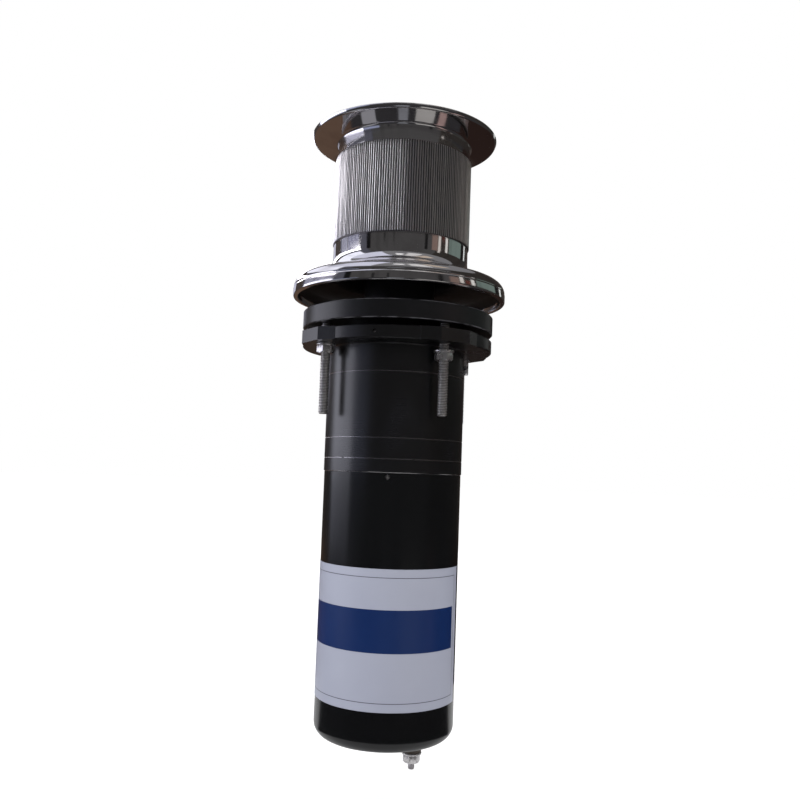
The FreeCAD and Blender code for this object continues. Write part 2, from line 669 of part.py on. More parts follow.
core = rod(size["rotor_radius"], -280.0, -175.0).cut(rod(size["motor_shaft_radius"] + 0.05, -300, -150))
slot_cutter = Part.makeBox(16.0, 5.0, 120.0, Vector(26.0, -2.5, -290.0))
mouth_cutter = Part.makeBox(6.0, 2.4, 120.0, Vector(40.0, -1.2, -290.0))
core = core.cut(polar(slot_cutter, 12) + polar(mouth_cutter, 12))
new_feature("armature_core", core)


def end_turns(low, high):
    """The rounded bundle of copper where the coils cross over."""
    bundle = rod(41.0, low, high).cut(rod(14.0, low - 1, high + 1))
    rims = [e for e in bundle.Edges if e.Curve.TypeId == "Part::GeomCircle" and e.Curve.Radius > 20]
    return bundle.makeFillet(6.0, rims)


coil = Part.makeBox(14.6, 4.2, 109.0, Vector(26.7, -2.1, -282.0))
windings = end_turns(-174.6, -156.0).fuse([end_turns(-294.0, -280.4)] + polar(coil, 12))
new_feature("armature_windings", windings)
turned("commutator", [
    (("motor_shaft_radius", 0.05), -311.5), (18.2, -311.5), (19.0, -310.7), (19.0, -298.0),
    (21.0, -298.0), (21.0, -295.0), (("motor_shaft_radius", 0.05), -295.0),
])

plate = new_body("brush_plate")
turn(plate, [(19.8, -315.1), (53.6, -315.1), (53.6, -312.1), (19.8, -312.1)])
drill(plate, TERMINALS, 3.05, -312.1, 4.0, "terminal_holes")
brush = Part.makeBox(13.5, 7.6, 8.6, Vector(19.3, -3.8, -311.0))
holder = Part.makeBox(19.0, 11.0, 12.0, Vector(23.0, -5.5, -312.1))
holder = holder.cut(Part.makeBox(17.5, 8.2, 9.2, Vector(22.5, -4.1, -311.3)))
spring = Part.makeCylinder(3.2, 6.8, Vector(33.0, 0, -306.7), Vector(1, 0, 0))
spring = spring.cut(Part.makeCylinder(2.2, 8.0, Vector(32.5, 0, -306.7), Vector(1, 0, 0)))
new_feature("carbon_brushes", Part.makeCompound(polar(brush, 4)))
new_feature("brush_holders", Part.makeCompound(polar(holder, 4)))
new_feature("brush_springs", Part.makeCompound(polar(spring, 4)))

studs, collars, terminal_washers, terminal_nuts = [], [], [], []
for spot in TERMINALS:
    free_end = bevelled(size["terminal_tip"], size["terminal_end"], -345.6, spot, 0.7)
    studs.append(free_end.fuse(rod(size["terminal_radius"], -345.6, -312.2, spot)))
    tube = rod(4.5, size["can_bottom"], floor, spot)
    collar = tube.fuse(rod(7.6, size["can_bottom"] - 7.4, size["can_bottom"], spot)).removeSplitter()
    collars.append(collar.cut(rod(size["terminal_radius"] + 0.05, -345, -320, spot)))
    top = size["can_bottom"] - 7.4
    terminal_washers.append(rod(7.9, top - 1.6, top, spot).cut(rod(3.2, -345, -330, spot)))
    nut = hexagon(12.0, top - 8.0, top - 1.6, spot, 10.0)
    terminal_nuts.append(nut.cut(rod(size["terminal_radius"] + 0.02, -350, -330, spot)))
new_feature("terminal_studs", Part.makeCompound(studs))
new_feature("terminal_insulators", Part.makeCompound(collars))
new_feature("terminal_washers", Part.makeCompound(terminal_washers))
new_feature("terminal_nuts", Part.makeCompound(terminal_nuts))

# ---------------------------------------------------------------- checks and files
doc.recompute()
for item in doc.Objects:
    if "Invalid" in item.State or "Error" in item.State:
        raise RuntimeError("%s did not recompute: %s" % (item.Label, item.State))
labels = [piece.Label for piece in pieces]
if len(set(labels)) != len(labels):
    raise RuntimeError("two pieces share a label")
os.makedirs("parts", exist_ok=True)
for piece in pieces:
    shape = piece.Shape
    if shape.isNull() or not shape.isValid() or not shape.Solids:
        raise RuntimeError("%s has no valid solid" % piece.Label)
    shape.exportStep("parts/%s.step" % piece.Label)
    print("%-22s %2d solids %10.1f mm3" % (piece.Label, len(shape.Solids), shape.Volume))
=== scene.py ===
# %% [markdown]
# # A deck capstan, dressed for the studio
#
# The capstan is a winch that stands upright on a boat's deck. Above the deck there is a mirror-polished
# warping drum with a ribbed waist. Below the deck hang a black planetary gearbox and a black motor. Its
# construction is already packed as solids with real joints. So this lesson keeps their sizes and only makes
# what the eye sees: a finer drum, real screw threads, a label, the finishes, the lights and the camera.

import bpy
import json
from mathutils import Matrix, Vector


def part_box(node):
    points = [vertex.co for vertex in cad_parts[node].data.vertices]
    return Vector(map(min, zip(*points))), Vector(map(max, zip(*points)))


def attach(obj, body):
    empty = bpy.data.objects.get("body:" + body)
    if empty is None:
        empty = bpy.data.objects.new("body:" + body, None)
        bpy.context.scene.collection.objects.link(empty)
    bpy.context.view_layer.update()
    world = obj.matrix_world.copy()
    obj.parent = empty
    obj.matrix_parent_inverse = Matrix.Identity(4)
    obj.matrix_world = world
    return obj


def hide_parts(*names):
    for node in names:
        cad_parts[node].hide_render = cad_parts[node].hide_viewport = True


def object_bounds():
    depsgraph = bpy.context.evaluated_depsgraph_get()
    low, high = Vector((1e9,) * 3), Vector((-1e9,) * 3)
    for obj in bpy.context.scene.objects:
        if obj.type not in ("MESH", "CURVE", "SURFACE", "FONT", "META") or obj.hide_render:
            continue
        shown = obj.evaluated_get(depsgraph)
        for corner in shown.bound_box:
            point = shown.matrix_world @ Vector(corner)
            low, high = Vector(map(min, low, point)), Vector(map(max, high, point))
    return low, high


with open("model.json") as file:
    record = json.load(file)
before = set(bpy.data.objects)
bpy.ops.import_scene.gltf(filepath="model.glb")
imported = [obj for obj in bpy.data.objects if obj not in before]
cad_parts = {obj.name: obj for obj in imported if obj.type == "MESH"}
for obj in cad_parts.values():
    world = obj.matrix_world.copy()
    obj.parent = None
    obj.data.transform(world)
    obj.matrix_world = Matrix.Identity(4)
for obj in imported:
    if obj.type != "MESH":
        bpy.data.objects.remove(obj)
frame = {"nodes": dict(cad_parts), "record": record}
cad_low, cad_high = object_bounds()
print("nodes", len(frame["nodes"]), "height", round(cad_high.z - cad_low.z, 4))

# %% [markdown]
# A workshop drawing is in millimetres and Blender works in metres, so one constant turns the first into the
# second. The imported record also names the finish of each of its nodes. Those names are kept, so that a node
# and the finer piece that takes its place share one finish.

# %% The other modules, the working unit and the finish of each node
import json
import math

import bmesh
import bpy
from mathutils import Euler, Matrix, Vector, noise

MM = 0.001
TAU = 2 * math.pi
slot_of = {row["node"]: row["material_slot"] for row in frame["record"]["subparts"]}
print("finishes in the record", len(set(slot_of.values())))


# %% [markdown]
# ## Shader arithmetic
#
# A finish is mostly arithmetic on positions: how far is this point from a seam, which way round is it.
# Wiring Math nodes by hand hides that arithmetic, so one small class wraps a socket and lets Python's own
# operators add the nodes. Every other node comes from one method, `node`, of the class Finish.

# %% A socket with operators
class Signal:
    """A number that varies over a surface. Each operator adds one Math node."""

    def __init__(self, tree, socket):
        self.tree = tree
        self.socket = socket

    def math(self, operation, *values):
        made = self.tree.nodes.new("ShaderNodeMath")
        made.operation = operation
        for place, value in enumerate(values):
            if isinstance(value, Signal):
                self.tree.links.new(value.socket, made.inputs[place])
            else:
                made.inputs[place].default_value = value
        return Signal(self.tree, made.outputs[0])

    def __add__(self, other):
        return self.math("ADD", self, other)

    def __radd__(self, other):
        return self.math("ADD", other, self)

    def __sub__(self, other):
        return self.math("SUBTRACT", self, other)

    def __rsub__(self, other):
        return self.math("SUBTRACT", other, self)

    def __mul__(self, other):
        return self.math("MULTIPLY", self, other)

    def __rmul__(self, other):
        return self.math("MULTIPLY", other, self)

    def __pow__(self, other):
        return self.math("POWER", self, other)

    def __gt__(self, other):
        return self.math("GREATER_THAN", self, other)

    def __lt__(self, other):
        return self.math("LESS_THAN", self, other)

    def __abs__(self):
        return self.math("ABSOLUTE", self)


print("operators ready")


# %% A finish and its nodes
class Finish:
    """One material, built node by node."""

    def __init__(self, name):
        self.material = bpy.data.materials.new(name)
        self.material.use_nodes = True
        self.tree = self.material.node_tree
        self.tree.nodes.clear()
        self.place = self.node("TexCoord", output="Object")
        axes = [self.node("SeparateXYZ", inputs={0: self.place}, output=k) for k in range(3)]
        self.x, self.y, self.z = axes
        self.radius = (self.x * self.x + self.y * self.y) ** 0.5

    def node(self, kind, settings=None, inputs=None, output=0):
        """Any node: its settings first, then the values or links of its sockets."""
        made = self.tree.nodes.new("ShaderNode" + kind)
        for name, value in (settings or {}).items():
            setattr(made, name, value)
        for name, value in (inputs or {}).items():
            if isinstance(value, Signal):
                self.tree.links.new(value.socket, made.inputs[name])
            else:
                made.inputs[name].default_value = value
        return Signal(self.tree, made.outputs[output]) if made.outputs else None

    def speckle(self, scale, detail=3.0, stretch=(1.0, 1.0, 1.0)):
        """Soft noise from 0 to 1, in spots of about 1/scale of a metre."""
        spread = self.node("VectorMath", {"operation": "MULTIPLY"}, {0: self.place, 1: stretch})
        sockets = {"Vector": spread, "Scale": scale, "Detail": detail, "Roughness": 0.55}
        return self.node("TexNoise", inputs=sockets)

    def lathe_lines(self, scale):
        """Fine lines round the axis, as a turning tool or a polishing wheel leaves them."""
        height = self.node("CombineXYZ", inputs={"X": self.radius * 0.7, "Z": self.z})
        sockets = {"Vector": height, "Scale": scale, "Detail": 2.0, "Roughness": 0.6}
        return self.node("TexNoise", inputs=sockets)

    def blend(self, share, first, second):
        """A colour between two colours."""
        return self.node("Mix", {"data_type": "RGBA"}, {0: share, 6: first, 7: second}, output=2)

    def between(self, value, low, high):
        """0 below low, 1 above high, and a smooth step from one to the other."""
        settings = {"interpolation_type": "SMOOTHSTEP"}
        return self.node("MapRange", settings, {"Value": value, "From Min": low, "From Max": high})

    def line_at(self, value, middle, width):
        """1 within half a width of the middle and 0 elsewhere."""
        return abs(value - middle) < width / 2

    def bump(self, height, strength, distance):
        return self.node("Bump", inputs={"Height": height, "Strength": strength, "Distance": distance})

    def surface(self, sockets):
        """The one surface shader of this finish."""
        shader = self.node("BsdfPrincipled", inputs=sockets)
        self.node("OutputMaterial", inputs={"Surface": shader})
        print("finish", self.material.name, len(self.tree.nodes), "nodes")
        return self.material


print("finish builder ready")

# %% [markdown]
# ## The camera
#
# The eye is level with the top of the motor, so it looks up under the drum's rim and flange. The lens is a
# normal one, and the camera leans by two degrees, which makes the tall body taper and tilt. A camera stays
# the same whatever is built, so it comes first.

# %% The camera at its place
CAMERA_PLACE = (-0.0133, -0.7058, -0.1156)
CAMERA_TURN = (94.832, -2.088, -1.587)
CAMERA_LENS = 37.69
eye = bpy.data.cameras.new("eye")
eye.sensor_width = 36.0
eye.lens = CAMERA_LENS
camera = bpy.data.objects.new("camera", eye)
camera.location = CAMERA_PLACE
camera.rotation_euler = Euler([math.radians(angle) for angle in CAMERA_TURN], "XYZ")
bpy.context.scene.collection.objects.link(camera)
bpy.context.scene.camera = camera
print("camera", CAMERA_PLACE, "lens", CAMERA_LENS)

# %% [markdown]
# ## The studio
#
# The world is pure white to the eye and in reflections, and less bright as a light, so that black parts
# stay black. A plain white world of strength 1 is simpler, but it fills every shadow.

# %% The world
WORLD_LIGHT = 0.62
world = bpy.data.worlds.new("white_room")
bpy.context.scene.world = world
world.use_nodes = True
world_tree = world.node_tree
world_tree.nodes.clear()
seen = world_tree.nodes.new("ShaderNodeLightPath")


def world_background(strength):
    made = world_tree.nodes.new("ShaderNodeBackground")
    made.inputs["Color"].default_value = (1.0, 1.0, 1.0, 1.0)
    made.inputs["Strength"].default_value = strength
    return made.outputs[0]


direct = Signal(world_tree, seen.outputs["Is Camera Ray"])
direct = direct + Signal(world_tree, seen.outputs["Is Glossy Ray"])
direct = direct + Signal(world_tree, seen.outputs["Is Transmission Ray"])
choice = world_tree.nodes.new("ShaderNodeMixShader")
world_tree.links.new(direct.socket, choice.inputs[0])
world_tree.links.new(world_background(WORLD_LIGHT), choice.inputs[1])
world_tree.links.new(world_background(1.0), choice.inputs[2])
world_out = world_tree.nodes.new("ShaderNodeOutputWorld")
world_tree.links.new(choice.outputs[0], world_out.inputs["Surface"])
bpy.context.scene.view_settings.view_transform = "Standard"
print("world as a light", WORLD_LIGHT)

# %% [markdown]
# The floor is a wide white disc under the motor. A diffuse white alone looks grey where little light comes,
# so the eye also sees a faint glow on it. The glow is added and isn't a replacement, so shadows still show.

# %% The floor
FLOOR_GAP = 22 * MM
FLOOR_REACH = 14.0
FLOOR_WHITE = 0.86
FLOOR_GLOW = 0.52


def grey(level):
    return (level, level, level, 1.0)


def floor_finish():
    """White, with a glow that only the eye sees."""
    finish = Finish("studio_floor")
    path = finish.node("LightPath", output="Is Camera Ray")
    pale = finish.node("BsdfDiffuse", inputs={"Color": grey(FLOOR_WHITE)})
    glow = finish.node("Emission", inputs={"Color": grey(1.0), "Strength": FLOOR_GLOW})
    both = finish.node("AddShader", inputs={0: pale, 1: glow})
    chosen = finish.node("MixShader", inputs={0: path, 1: pale, 2: both})
    finish.node("OutputMaterial", inputs={"Surface": chosen})
    return finish.material


disc = bmesh.new()
bmesh.ops.create_circle(disc, cap_ends=True, segments=96, radius=FLOOR_REACH)
floor_mesh = bpy.data.meshes.new("floor")
disc.to_mesh(floor_mesh)
disc.free()
floor_mesh.materials.append(floor_finish())
floor = bpy.data.objects.new("floor", floor_mesh)
floor.location.z = cad_low.z - FLOOR_GAP
bpy.context.scene.collection.objects.link(floor)
print("floor at", round(floor.location.z, 4))

# %% [markdown]
# Three soft area lamps stand for a window on the left, a pale room in front and a weak light behind. Steel
# and gloss paint don't show the lamps themselves: those surfaces get their highlights from the cards below.


# %% Soft lamps
def lamp(name, azimuth, distance, height, wide, tall, watts, colour):
    """An area lamp that looks at the capstan's middle. Azimuth runs from -Y towards +X."""
    light = bpy.data.lights.new(name, "AREA")
    light.shape = "RECTANGLE"
    light.size = wide
    light.size_y = tall
    light.energy = watts
    light.color = colour
    made = bpy.data.objects.new(name, light)
    angle = math.radians(azimuth)
    made.location = (distance * math.sin(angle), -distance * math.cos(angle), height)
    aim = Vector((0, 0, (cad_low.z + cad_high.z) / 2)) - made.location
    made.rotation_euler = aim.to_track_quat("-Z", "Y").to_euler()
    made.visible_glossy = False
    made.visible_camera = False
    bpy.context.scene.collection.objects.link(made)
    print("lamp", name, watts, "W")


lamp("window_light", -72, 1.5, 0.15, 1.0, 1.3, 14.0, (0.93, 0.95, 1.0))
lamp("front_fill", 42, 1.9, 0.35, 1.4, 1.2, 12.0, (1.0, 0.99, 0.98))
lamp("back_fill", 165, 1.9, 0.7, 1.4, 1.0, 8.0, (1.0, 1.0, 1.0))

# %% [markdown]
# ## The room that the steel reflects
#
# A mirror shows whatever stands round it, and a room that is white everywhere makes polished steel look
# like paper. Whoever lights silverware therefore sets cards round it: a big bright one as a window, dark
# ones as flags. A whole furnished room would do the same with far more work. The cards here glow by
# themselves, stand on circles round the capstan, and only reflections see them, so they never hide it or
# light the floor.
#
# A card at the height and angle that a band of the drum reflects changes that band and hardly any other:
# upright steel mirrors a ray upwards by as much as the eye looks up at it, and sideways by twice the angle
# of the surface.


# %% Reflection cards
def card_finish(name, colour, strength, streak):
    """A card that glows evenly, or in soft upright streaks."""
    finish = Finish(name)
    level = 1.0
    if streak:
        upright = finish.speckle(3.0, 1.0, (1.0, 1.0, 0.08))
        level = 1.0 - streak + upright * (2 * streak)
    tint = finish.blend(level, (0, 0, 0, 1), (*colour, 1))
    glow = finish.node("Emission", inputs={"Color": tint, "Strength": strength})
    finish.node("OutputMaterial", inputs={"Surface": glow})
    return finish.material


def strip(name, azimuths, edges, steps, finish):
    """A curved card between two edges, each a (reach, height), that only reflections see."""
    first, last = (math.radians(angle) for angle in azimuths)
    corners = []
    for step in range(steps + 1):
        angle = first + (last - first) * step / steps
        corners += [(reach * math.sin(angle), -reach * math.cos(angle), height) for reach, height in edges]
    faces = [(2 * k, 2 * k + 2, 2 * k + 3, 2 * k + 1) for k in range(steps)]
    mesh = bpy.data.meshes.new(name)
    mesh.from_pydata(corners, [], faces)
    mesh.materials.append(finish)
    made = bpy.data.objects.new(name, mesh)
    bpy.context.scene.collection.objects.link(made)
    made.visible_camera = False
    made.visible_diffuse = False
    made.visible_transmission = False
    made.visible_shadow = False


def card(name, azimuths, heights, distance, colour, streak=0.0, strength=1.0):
    """An upright card on a circle round the capstan."""
    edges = [(distance, height) for height in heights]
    strip(name, azimuths, edges, 24, card_finish(name, colour, strength, streak))


def disc_card(name, height, inner, outer, azimuths, colour):
    """A flat card over or under the capstan, between two circles."""
    edges = [(outer, height), (inner, height)]
    strip(name, azimuths, edges, 32, card_finish(name, colour, 1.0, 0.0))


print("cards can be made")

# %% [markdown]
# The walls are four dark flags from floor to ceiling. The windows stand in front of them on the left: a
# cold daylight that gives the ribs, the band and the gearbox their bright left sides.

# %% Walls and windows
ROOM_FLOOR = floor.location.z + 4 * MM
ROOM_TOP = 2.4
WALL = (ROOM_FLOOR, ROOM_TOP)
AT_WALL, NEAR_WALL, AT_WINDOW = 2.3, 2.2, 2.1
card("front_flag", (-58, 60), WALL, AT_WALL, (0.064, 0.062, 0.062), 0.5)
card("right_flag", (60, 150), WALL, AT_WALL, (0.034, 0.030, 0.027), 0.5)
card("back_flag", (150, 235), WALL, AT_WALL, (0.060, 0.048, 0.043), 0.5)
card("back_window", (-166, -148), (0.1, 0.8), NEAR_WALL, (0.60, 0.60, 0.72), 0.1)
card("left_flag", (235, 302), WALL, AT_WALL, (0.085, 0.085, 0.105), 0.5)
card("window_low", (-119, -74), (-0.62, -0.16), AT_WINDOW, (0.60, 0.61, 0.74), 0.2)
card("window_middle", (-121, -74), (-0.14, 0.45), AT_WINDOW, (0.86, 0.87, 1.0), 0.15, 2.3)
card("window_soft", (-74, -44), (-0.08, 0.22), AT_WINDOW, (0.38, 0.42, 0.60), 0.6)
card("window_upper_left", (-121, -103), (0.47, 0.73), AT_WINDOW, (0.34, 0.345, 0.44), 0.5)
card("window_upper_right", (-101, -76), (0.47, 0.73), AT_WINDOW, (0.24, 0.245, 0.34), 0.5)
card("sky_window", (-150, -76), (1.22, 2.28), AT_WINDOW, (0.88, 0.89, 1.0), 0.45, 1.25)
card("long_window", (-176, -73), (0.735, 0.945), 2.09, (0.94, 0.92, 0.97), 0.1, 6.0)
print("walls and windows stand at", AT_WINDOW, "to", AT_WALL, "m")

# %% [markdown]
# The things along the walls are narrow: a post, two corners, a shelf, a sheet of paper, a red box, a door, a
# green wall. They break the dark side of the mirror into the small upright patches that a workshop leaves.

# %% Things along the walls
card("dark_post", (-60, -53), (-0.1, 0.9), AT_WINDOW, (0.006, 0.006, 0.006))
card("wall_edge", (-30, -27), (-0.1, 0.75), NEAR_WALL, (0.016, 0.016, 0.016))
card("wall_streak", (-14, -12), (-0.1, 0.75), NEAR_WALL, (0.014, 0.014, 0.014))
card("shelf_shade", (39, 44), (-0.1, 0.9), NEAR_WALL, (0.010, 0.010, 0.010))
card("shelf_front", (52, 63), (0.30, 0.84), NEAR_WALL, (0.20, 0.14, 0.12), 0.6)
card("bright_paper", (64, 69), (0.43, 1.1), NEAR_WALL, (0.62, 0.58, 0.54))
card("red_box", (71, 78), (0.43, 0.7), NEAR_WALL, (0.10, 0.035, 0.028), 0.4)
card("bright_door", (79, 84), (0.43, 0.82), NEAR_WALL, (0.74, 0.72, 0.68))
card("green_wall", (87, 121), (0.43, 0.85), NEAR_WALL, (0.155, 0.20, 0.18), 0.5)
card("dark_gap", (122, 129), (0.43, 0.85), NEAR_WALL, (0.008, 0.008, 0.008))
card("far_lamp", (133, 138), (0.3, 0.75), NEAR_WALL, (0.85, 0.88, 0.86))
print("things at", NEAR_WALL, "m")

# %% [markdown]
# The ceiling gives the flange's dome and the cove above it their patches of light. The floor shows on the
# underside of the rim, brown behind and dark elsewhere, with four lighter patches on the rim's small cove.

# %% Ceiling and floor
PANELS, PATCHES = ROOM_TOP - 0.12, ROOM_FLOOR + 2 * MM
disc_card("ceiling", ROOM_TOP - 0.1, 0.0, 2.5, (0, 360), (0.20, 0.198, 0.205))
disc_card("skylight", PANELS, 0.35, 2.2, (-125, -38), (0.70, 0.71, 0.84))
disc_card("ceiling_lamp", PANELS, 0.7, 1.3, (-13, 6), (0.95, 0.95, 0.95))
disc_card("ceiling_panel", PANELS, 0.6, 1.7, (15, 47), (0.78, 0.77, 0.76))
disc_card("cream_panel", PANELS, 0.6, 1.4, (56, 88), (0.55, 0.46, 0.38))
disc_card("floor_back_left", ROOM_FLOOR, 0.35, 2.4, (-180, -118), (0.105, 0.066, 0.047))
disc_card("floor_back_right", ROOM_FLOOR, 0.35, 2.4, (118, 180), (0.022, 0.013, 0.011))
disc_card("floor_front", ROOM_FLOOR, 0.12, 2.4, (-118, 118), (0.034, 0.033, 0.035))
disc_card("floor_light_left", PATCHES, 0.42, 1.1, (-87, -57), (0.30, 0.30, 0.32))
disc_card("floor_light_middle", PATCHES, 0.42, 1.1, (-14, 3), (0.24, 0.25, 0.27))
disc_card("floor_light_right", PATCHES, 0.42, 1.1, (17, 52), (0.42, 0.41, 0.39))
disc_card("floor_light_pink", PATCHES, 0.42, 1.1, (61, 76), (0.40, 0.28, 0.26))
print("ceiling at", ROOM_TOP, "floor cards at", round(ROOM_FLOOR, 3))

# %% [markdown]
# ## Finishes
#
# A finish is a colour, a gloss and a fine relief, and on a real surface none of the three is even. Each
# finish below therefore starts from soft noise and from distances to the axis, and drives those sockets.
# Image textures would need unwrapping and would show a seam. Noise in space needs neither.
#
# The drum is polished on a wheel, so it carries faint lines round its axis, and hands and ropes leave
# smudges that only show as a change of gloss. Inside it stays as it was cast and dull, under painted shade: a
# near-black colour. That room is found from its radius and height, so one finish serves the whole casting.

# %% Polished steel of the drum and its cap
FINISHES = {}
HOLLOW_ZONES = [(84.6, 41.0), (80.0, 43.2), (56.3, 60.0), (52.0, 158.0)]  # reach and top, from the lip up
SHAFT_SURROUND = 12.8  # the bore round the shaft is machined bright
POLISHED, SMUDGED = (0.80, 0.79, 0.80, 1), (0.66, 0.64, 0.65, 1)
# the hollow's near-black colour is painted shade, laid on the dull unpolished casting
SHADED_RAW_CASTING = (0.016, 0.011, 0.010, 1)


def polished_steel():
    finish = Finish("polished_steel")
    smudge = finish.between(finish.speckle(26.0, 5.0), 0.45, 0.75)
    wheel = finish.lathe_lines(1900.0)
    zones = [(finish.radius < reach * MM) * (finish.z < top * MM) for reach, top in HOLLOW_ZONES]
    inside = sum(zones[1:], zones[0]) * (finish.radius > SHAFT_SURROUND * MM)
    raw_and_shaded = finish.between(inside, 0.2, 0.8)
    sand = finish.speckle(700.0, 4.0)
    gloss = (0.062 + smudge * 0.07 + wheel * 0.03) * (1.0 - raw_and_shaded)
    return finish.surface({
        "Base Color": finish.blend(raw_and_shaded, finish.blend(smudge, POLISHED, SMUDGED), SHADED_RAW_CASTING),
        "Metallic": 1.0 - raw_and_shaded,
        "Roughness": gloss + raw_and_shaded * (sand * 0.2 + 0.42),
        "Normal": finish.bump(wheel * (1.0 - raw_and_shaded) + sand * raw_and_shaded * 6.0, 0.05, 0.02 * MM),
    })


FINISHES["polished_steel"] = polished_steel()

# %% [markdown]
# The ribs are the same steel, with painted shade in their grooves and a painted highlight on their crowns, so
# that each rib reads as one line. The radius tells a crown from a groove. The steel here is duller than the
# mirror beside it: a rough reflection joins the light on each flank into one calm line, where a sharp one
# breaks up into sparks.

# %% The ribs: bright crowns, dull grooves
ROOT_REACH, TIP_REACH = 57.6, 58.3
RIB_ROOT, RIB_TIP = ROOT_REACH * MM, TIP_REACH * MM
# darker grooves are painted shade, and brighter crowns are a painted highlight
GROOVE_SHADE, CROWN_HIGHLIGHT_STEEL = (0.20, 0.19, 0.20, 1), (0.97, 0.95, 0.96, 1)


def ribbed_steel():
    finish = Finish("ribbed_steel")
    crown = finish.between(finish.radius, RIB_ROOT + 0.05 * MM, RIB_TIP - 0.1 * MM)
    wear = finish.speckle(45.0, 4.0, (1.0, 1.0, 0.3))
    return finish.surface({
        "Base Color": finish.blend(crown, GROOVE_SHADE, CROWN_HIGHLIGHT_STEEL),
        "Metallic": 1.0,
        "Roughness": 0.36 - crown * 0.10 + wear * 0.06,
    })


FINISHES["ribbed_steel"] = ribbed_steel()

# %% [markdown]
# The deck base is a casting under a thin satin coat of black. Its two sharp edges are painted lighter: a
# painted highlight for the glint on their bevels, and the coat worn through there first. The lighter edges
# could be painted by hand, but they lie at known heights on a known radius, so two bands of the right width
# find them, and noise breaks the bands up.

# %% Satin black of the deck base
BASE_EDGE = (78.9 * MM, 79.7 * MM)
LOW_EDGE_TOP, HIGH_EDGE_LOW = 0.7 * MM, 14.1 * MM
BASE_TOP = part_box("deck_base")[1].z
# the lighter edge colour is a painted highlight of the bevels' glint, together with worn coat
WORN_EDGE_GLINT = (0.09, 0.09, 0.10, 1)


def black_casting():
    finish = Finish("black_casting")
    cloud = finish.speckle(18.0, 4.0)
    grain = finish.speckle(900.0, 3.0)
    rim = finish.between(finish.radius, *BASE_EDGE)
    low_edge = rim * (finish.z < LOW_EDGE_TOP)
    high_edge = rim * (finish.z > HIGH_EDGE_LOW) * (finish.z < BASE_TOP)
    edge = (low_edge + high_edge) * finish.between(finish.speckle(90.0, 3.0), 0.35, 0.6)
    coat = finish.blend(cloud, (0.0030, 0.0030, 0.0036, 1), (0.0058, 0.0058, 0.0076, 1))
    return finish.surface({
        "Base Color": finish.blend(edge, coat, WORN_EDGE_GLINT),
        "Roughness": 0.24 + cloud * 0.16 + grain * 0.05,
        "Specular IOR Level": 0.62,
        "Normal": finish.bump(grain, 0.10, 0.03 * MM),
    })


FINISHES["black_casting"] = black_casting()

# %% [markdown]
# The gearbox, from the clamping flange down to the motor's front bell, is turned and has a thin gloss coat
# of black. Where two turned parts meet, the corner is cut back to bright metal, and the joint shows as a
# thin bright line all round. The solids hold no such corner, as it is half a millimetre wide, so the line is
# drawn in the finish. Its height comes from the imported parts.

# %% Turned black of the gearbox, bright at its seams
SEAMS = [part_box("gearbox_head")[0].z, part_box("ring_gear_housing")[0].z,
         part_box("motor_adapter")[0].z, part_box("motor_can")[1].z]
SEAM_WIDTH = 0.62 * MM
OUTER_WALL = (56.6 * MM, 56.9 * MM)
CUT_METAL = (0.62, 0.61, 0.62, 1)


def black_gearbox():
    finish = Finish("black_gearbox")
    cloud = finish.speckle(14.0, 4.0, (1.0, 1.0, 0.45))
    smear = finish.between(finish.speckle(19.0, 2.0, (1.0, 1.0, 0.6)), 0.42, 0.78)
    turning = finish.lathe_lines(2300.0)
    lines = [finish.line_at(finish.z, height, SEAM_WIDTH) for height in SEAMS]
    seam = sum(lines[1:], lines[0]) * finish.between(finish.radius, *OUTER_WALL)
    coat = finish.blend(smear, (0.0028, 0.0028, 0.0034, 1), (0.0075, 0.0075, 0.0105, 1))
    return finish.surface({
        "Base Color": finish.blend(seam, coat, CUT_METAL),
        "Metallic": seam,
        "Roughness": 0.22 + cloud * 0.10 - smear * 0.05 + turning * 0.06,
        "Specular IOR Level": 0.85,
        "Normal": finish.bump(turning, 0.10, 0.02 * MM),
    })


FINISHES["black_gearbox"] = black_gearbox()

# %% [markdown]
# The motor's can is drawn sheet under gloss paint. Paint that is sprayed on thick dries with a faint orange
# peel, so its relief is a soft noise and not lines. The lowest seam is the can's own upper edge.

# %% Gloss black of the motor
def motor_paint():
    finish = Finish("motor_paint")
    cloud = finish.speckle(9.0, 3.0)
    peel = finish.speckle(420.0, 2.0)
    seam = finish.line_at(finish.z, SEAMS[-1], SEAM_WIDTH)
    coat = finish.blend(cloud, (0.0026, 0.0028, 0.0031, 1), (0.0044, 0.0048, 0.0056, 1))
    return finish.surface({
        "Base Color": finish.blend(seam, coat, CUT_METAL),
        "Metallic": seam,
        "Roughness": 0.15 + cloud * 0.10,
        "Specular IOR Level": 0.5,
        "Normal": finish.bump(peel, 0.10, 0.02 * MM),
    })


FINISHES["motor_paint"] = motor_paint()

# %% [markdown]
# Screws, nuts and washers are plated with zinc: bright, a little cloudy, stained where they were handled.
# The clamping bolts take a second version, with painted shade in the grooves of the thread and a painted
# highlight on its crests, and a sine of the height with the thread's own pitch puts them there.

# %% Zinc-plated screws, nuts and washers
PITCH = 1.25


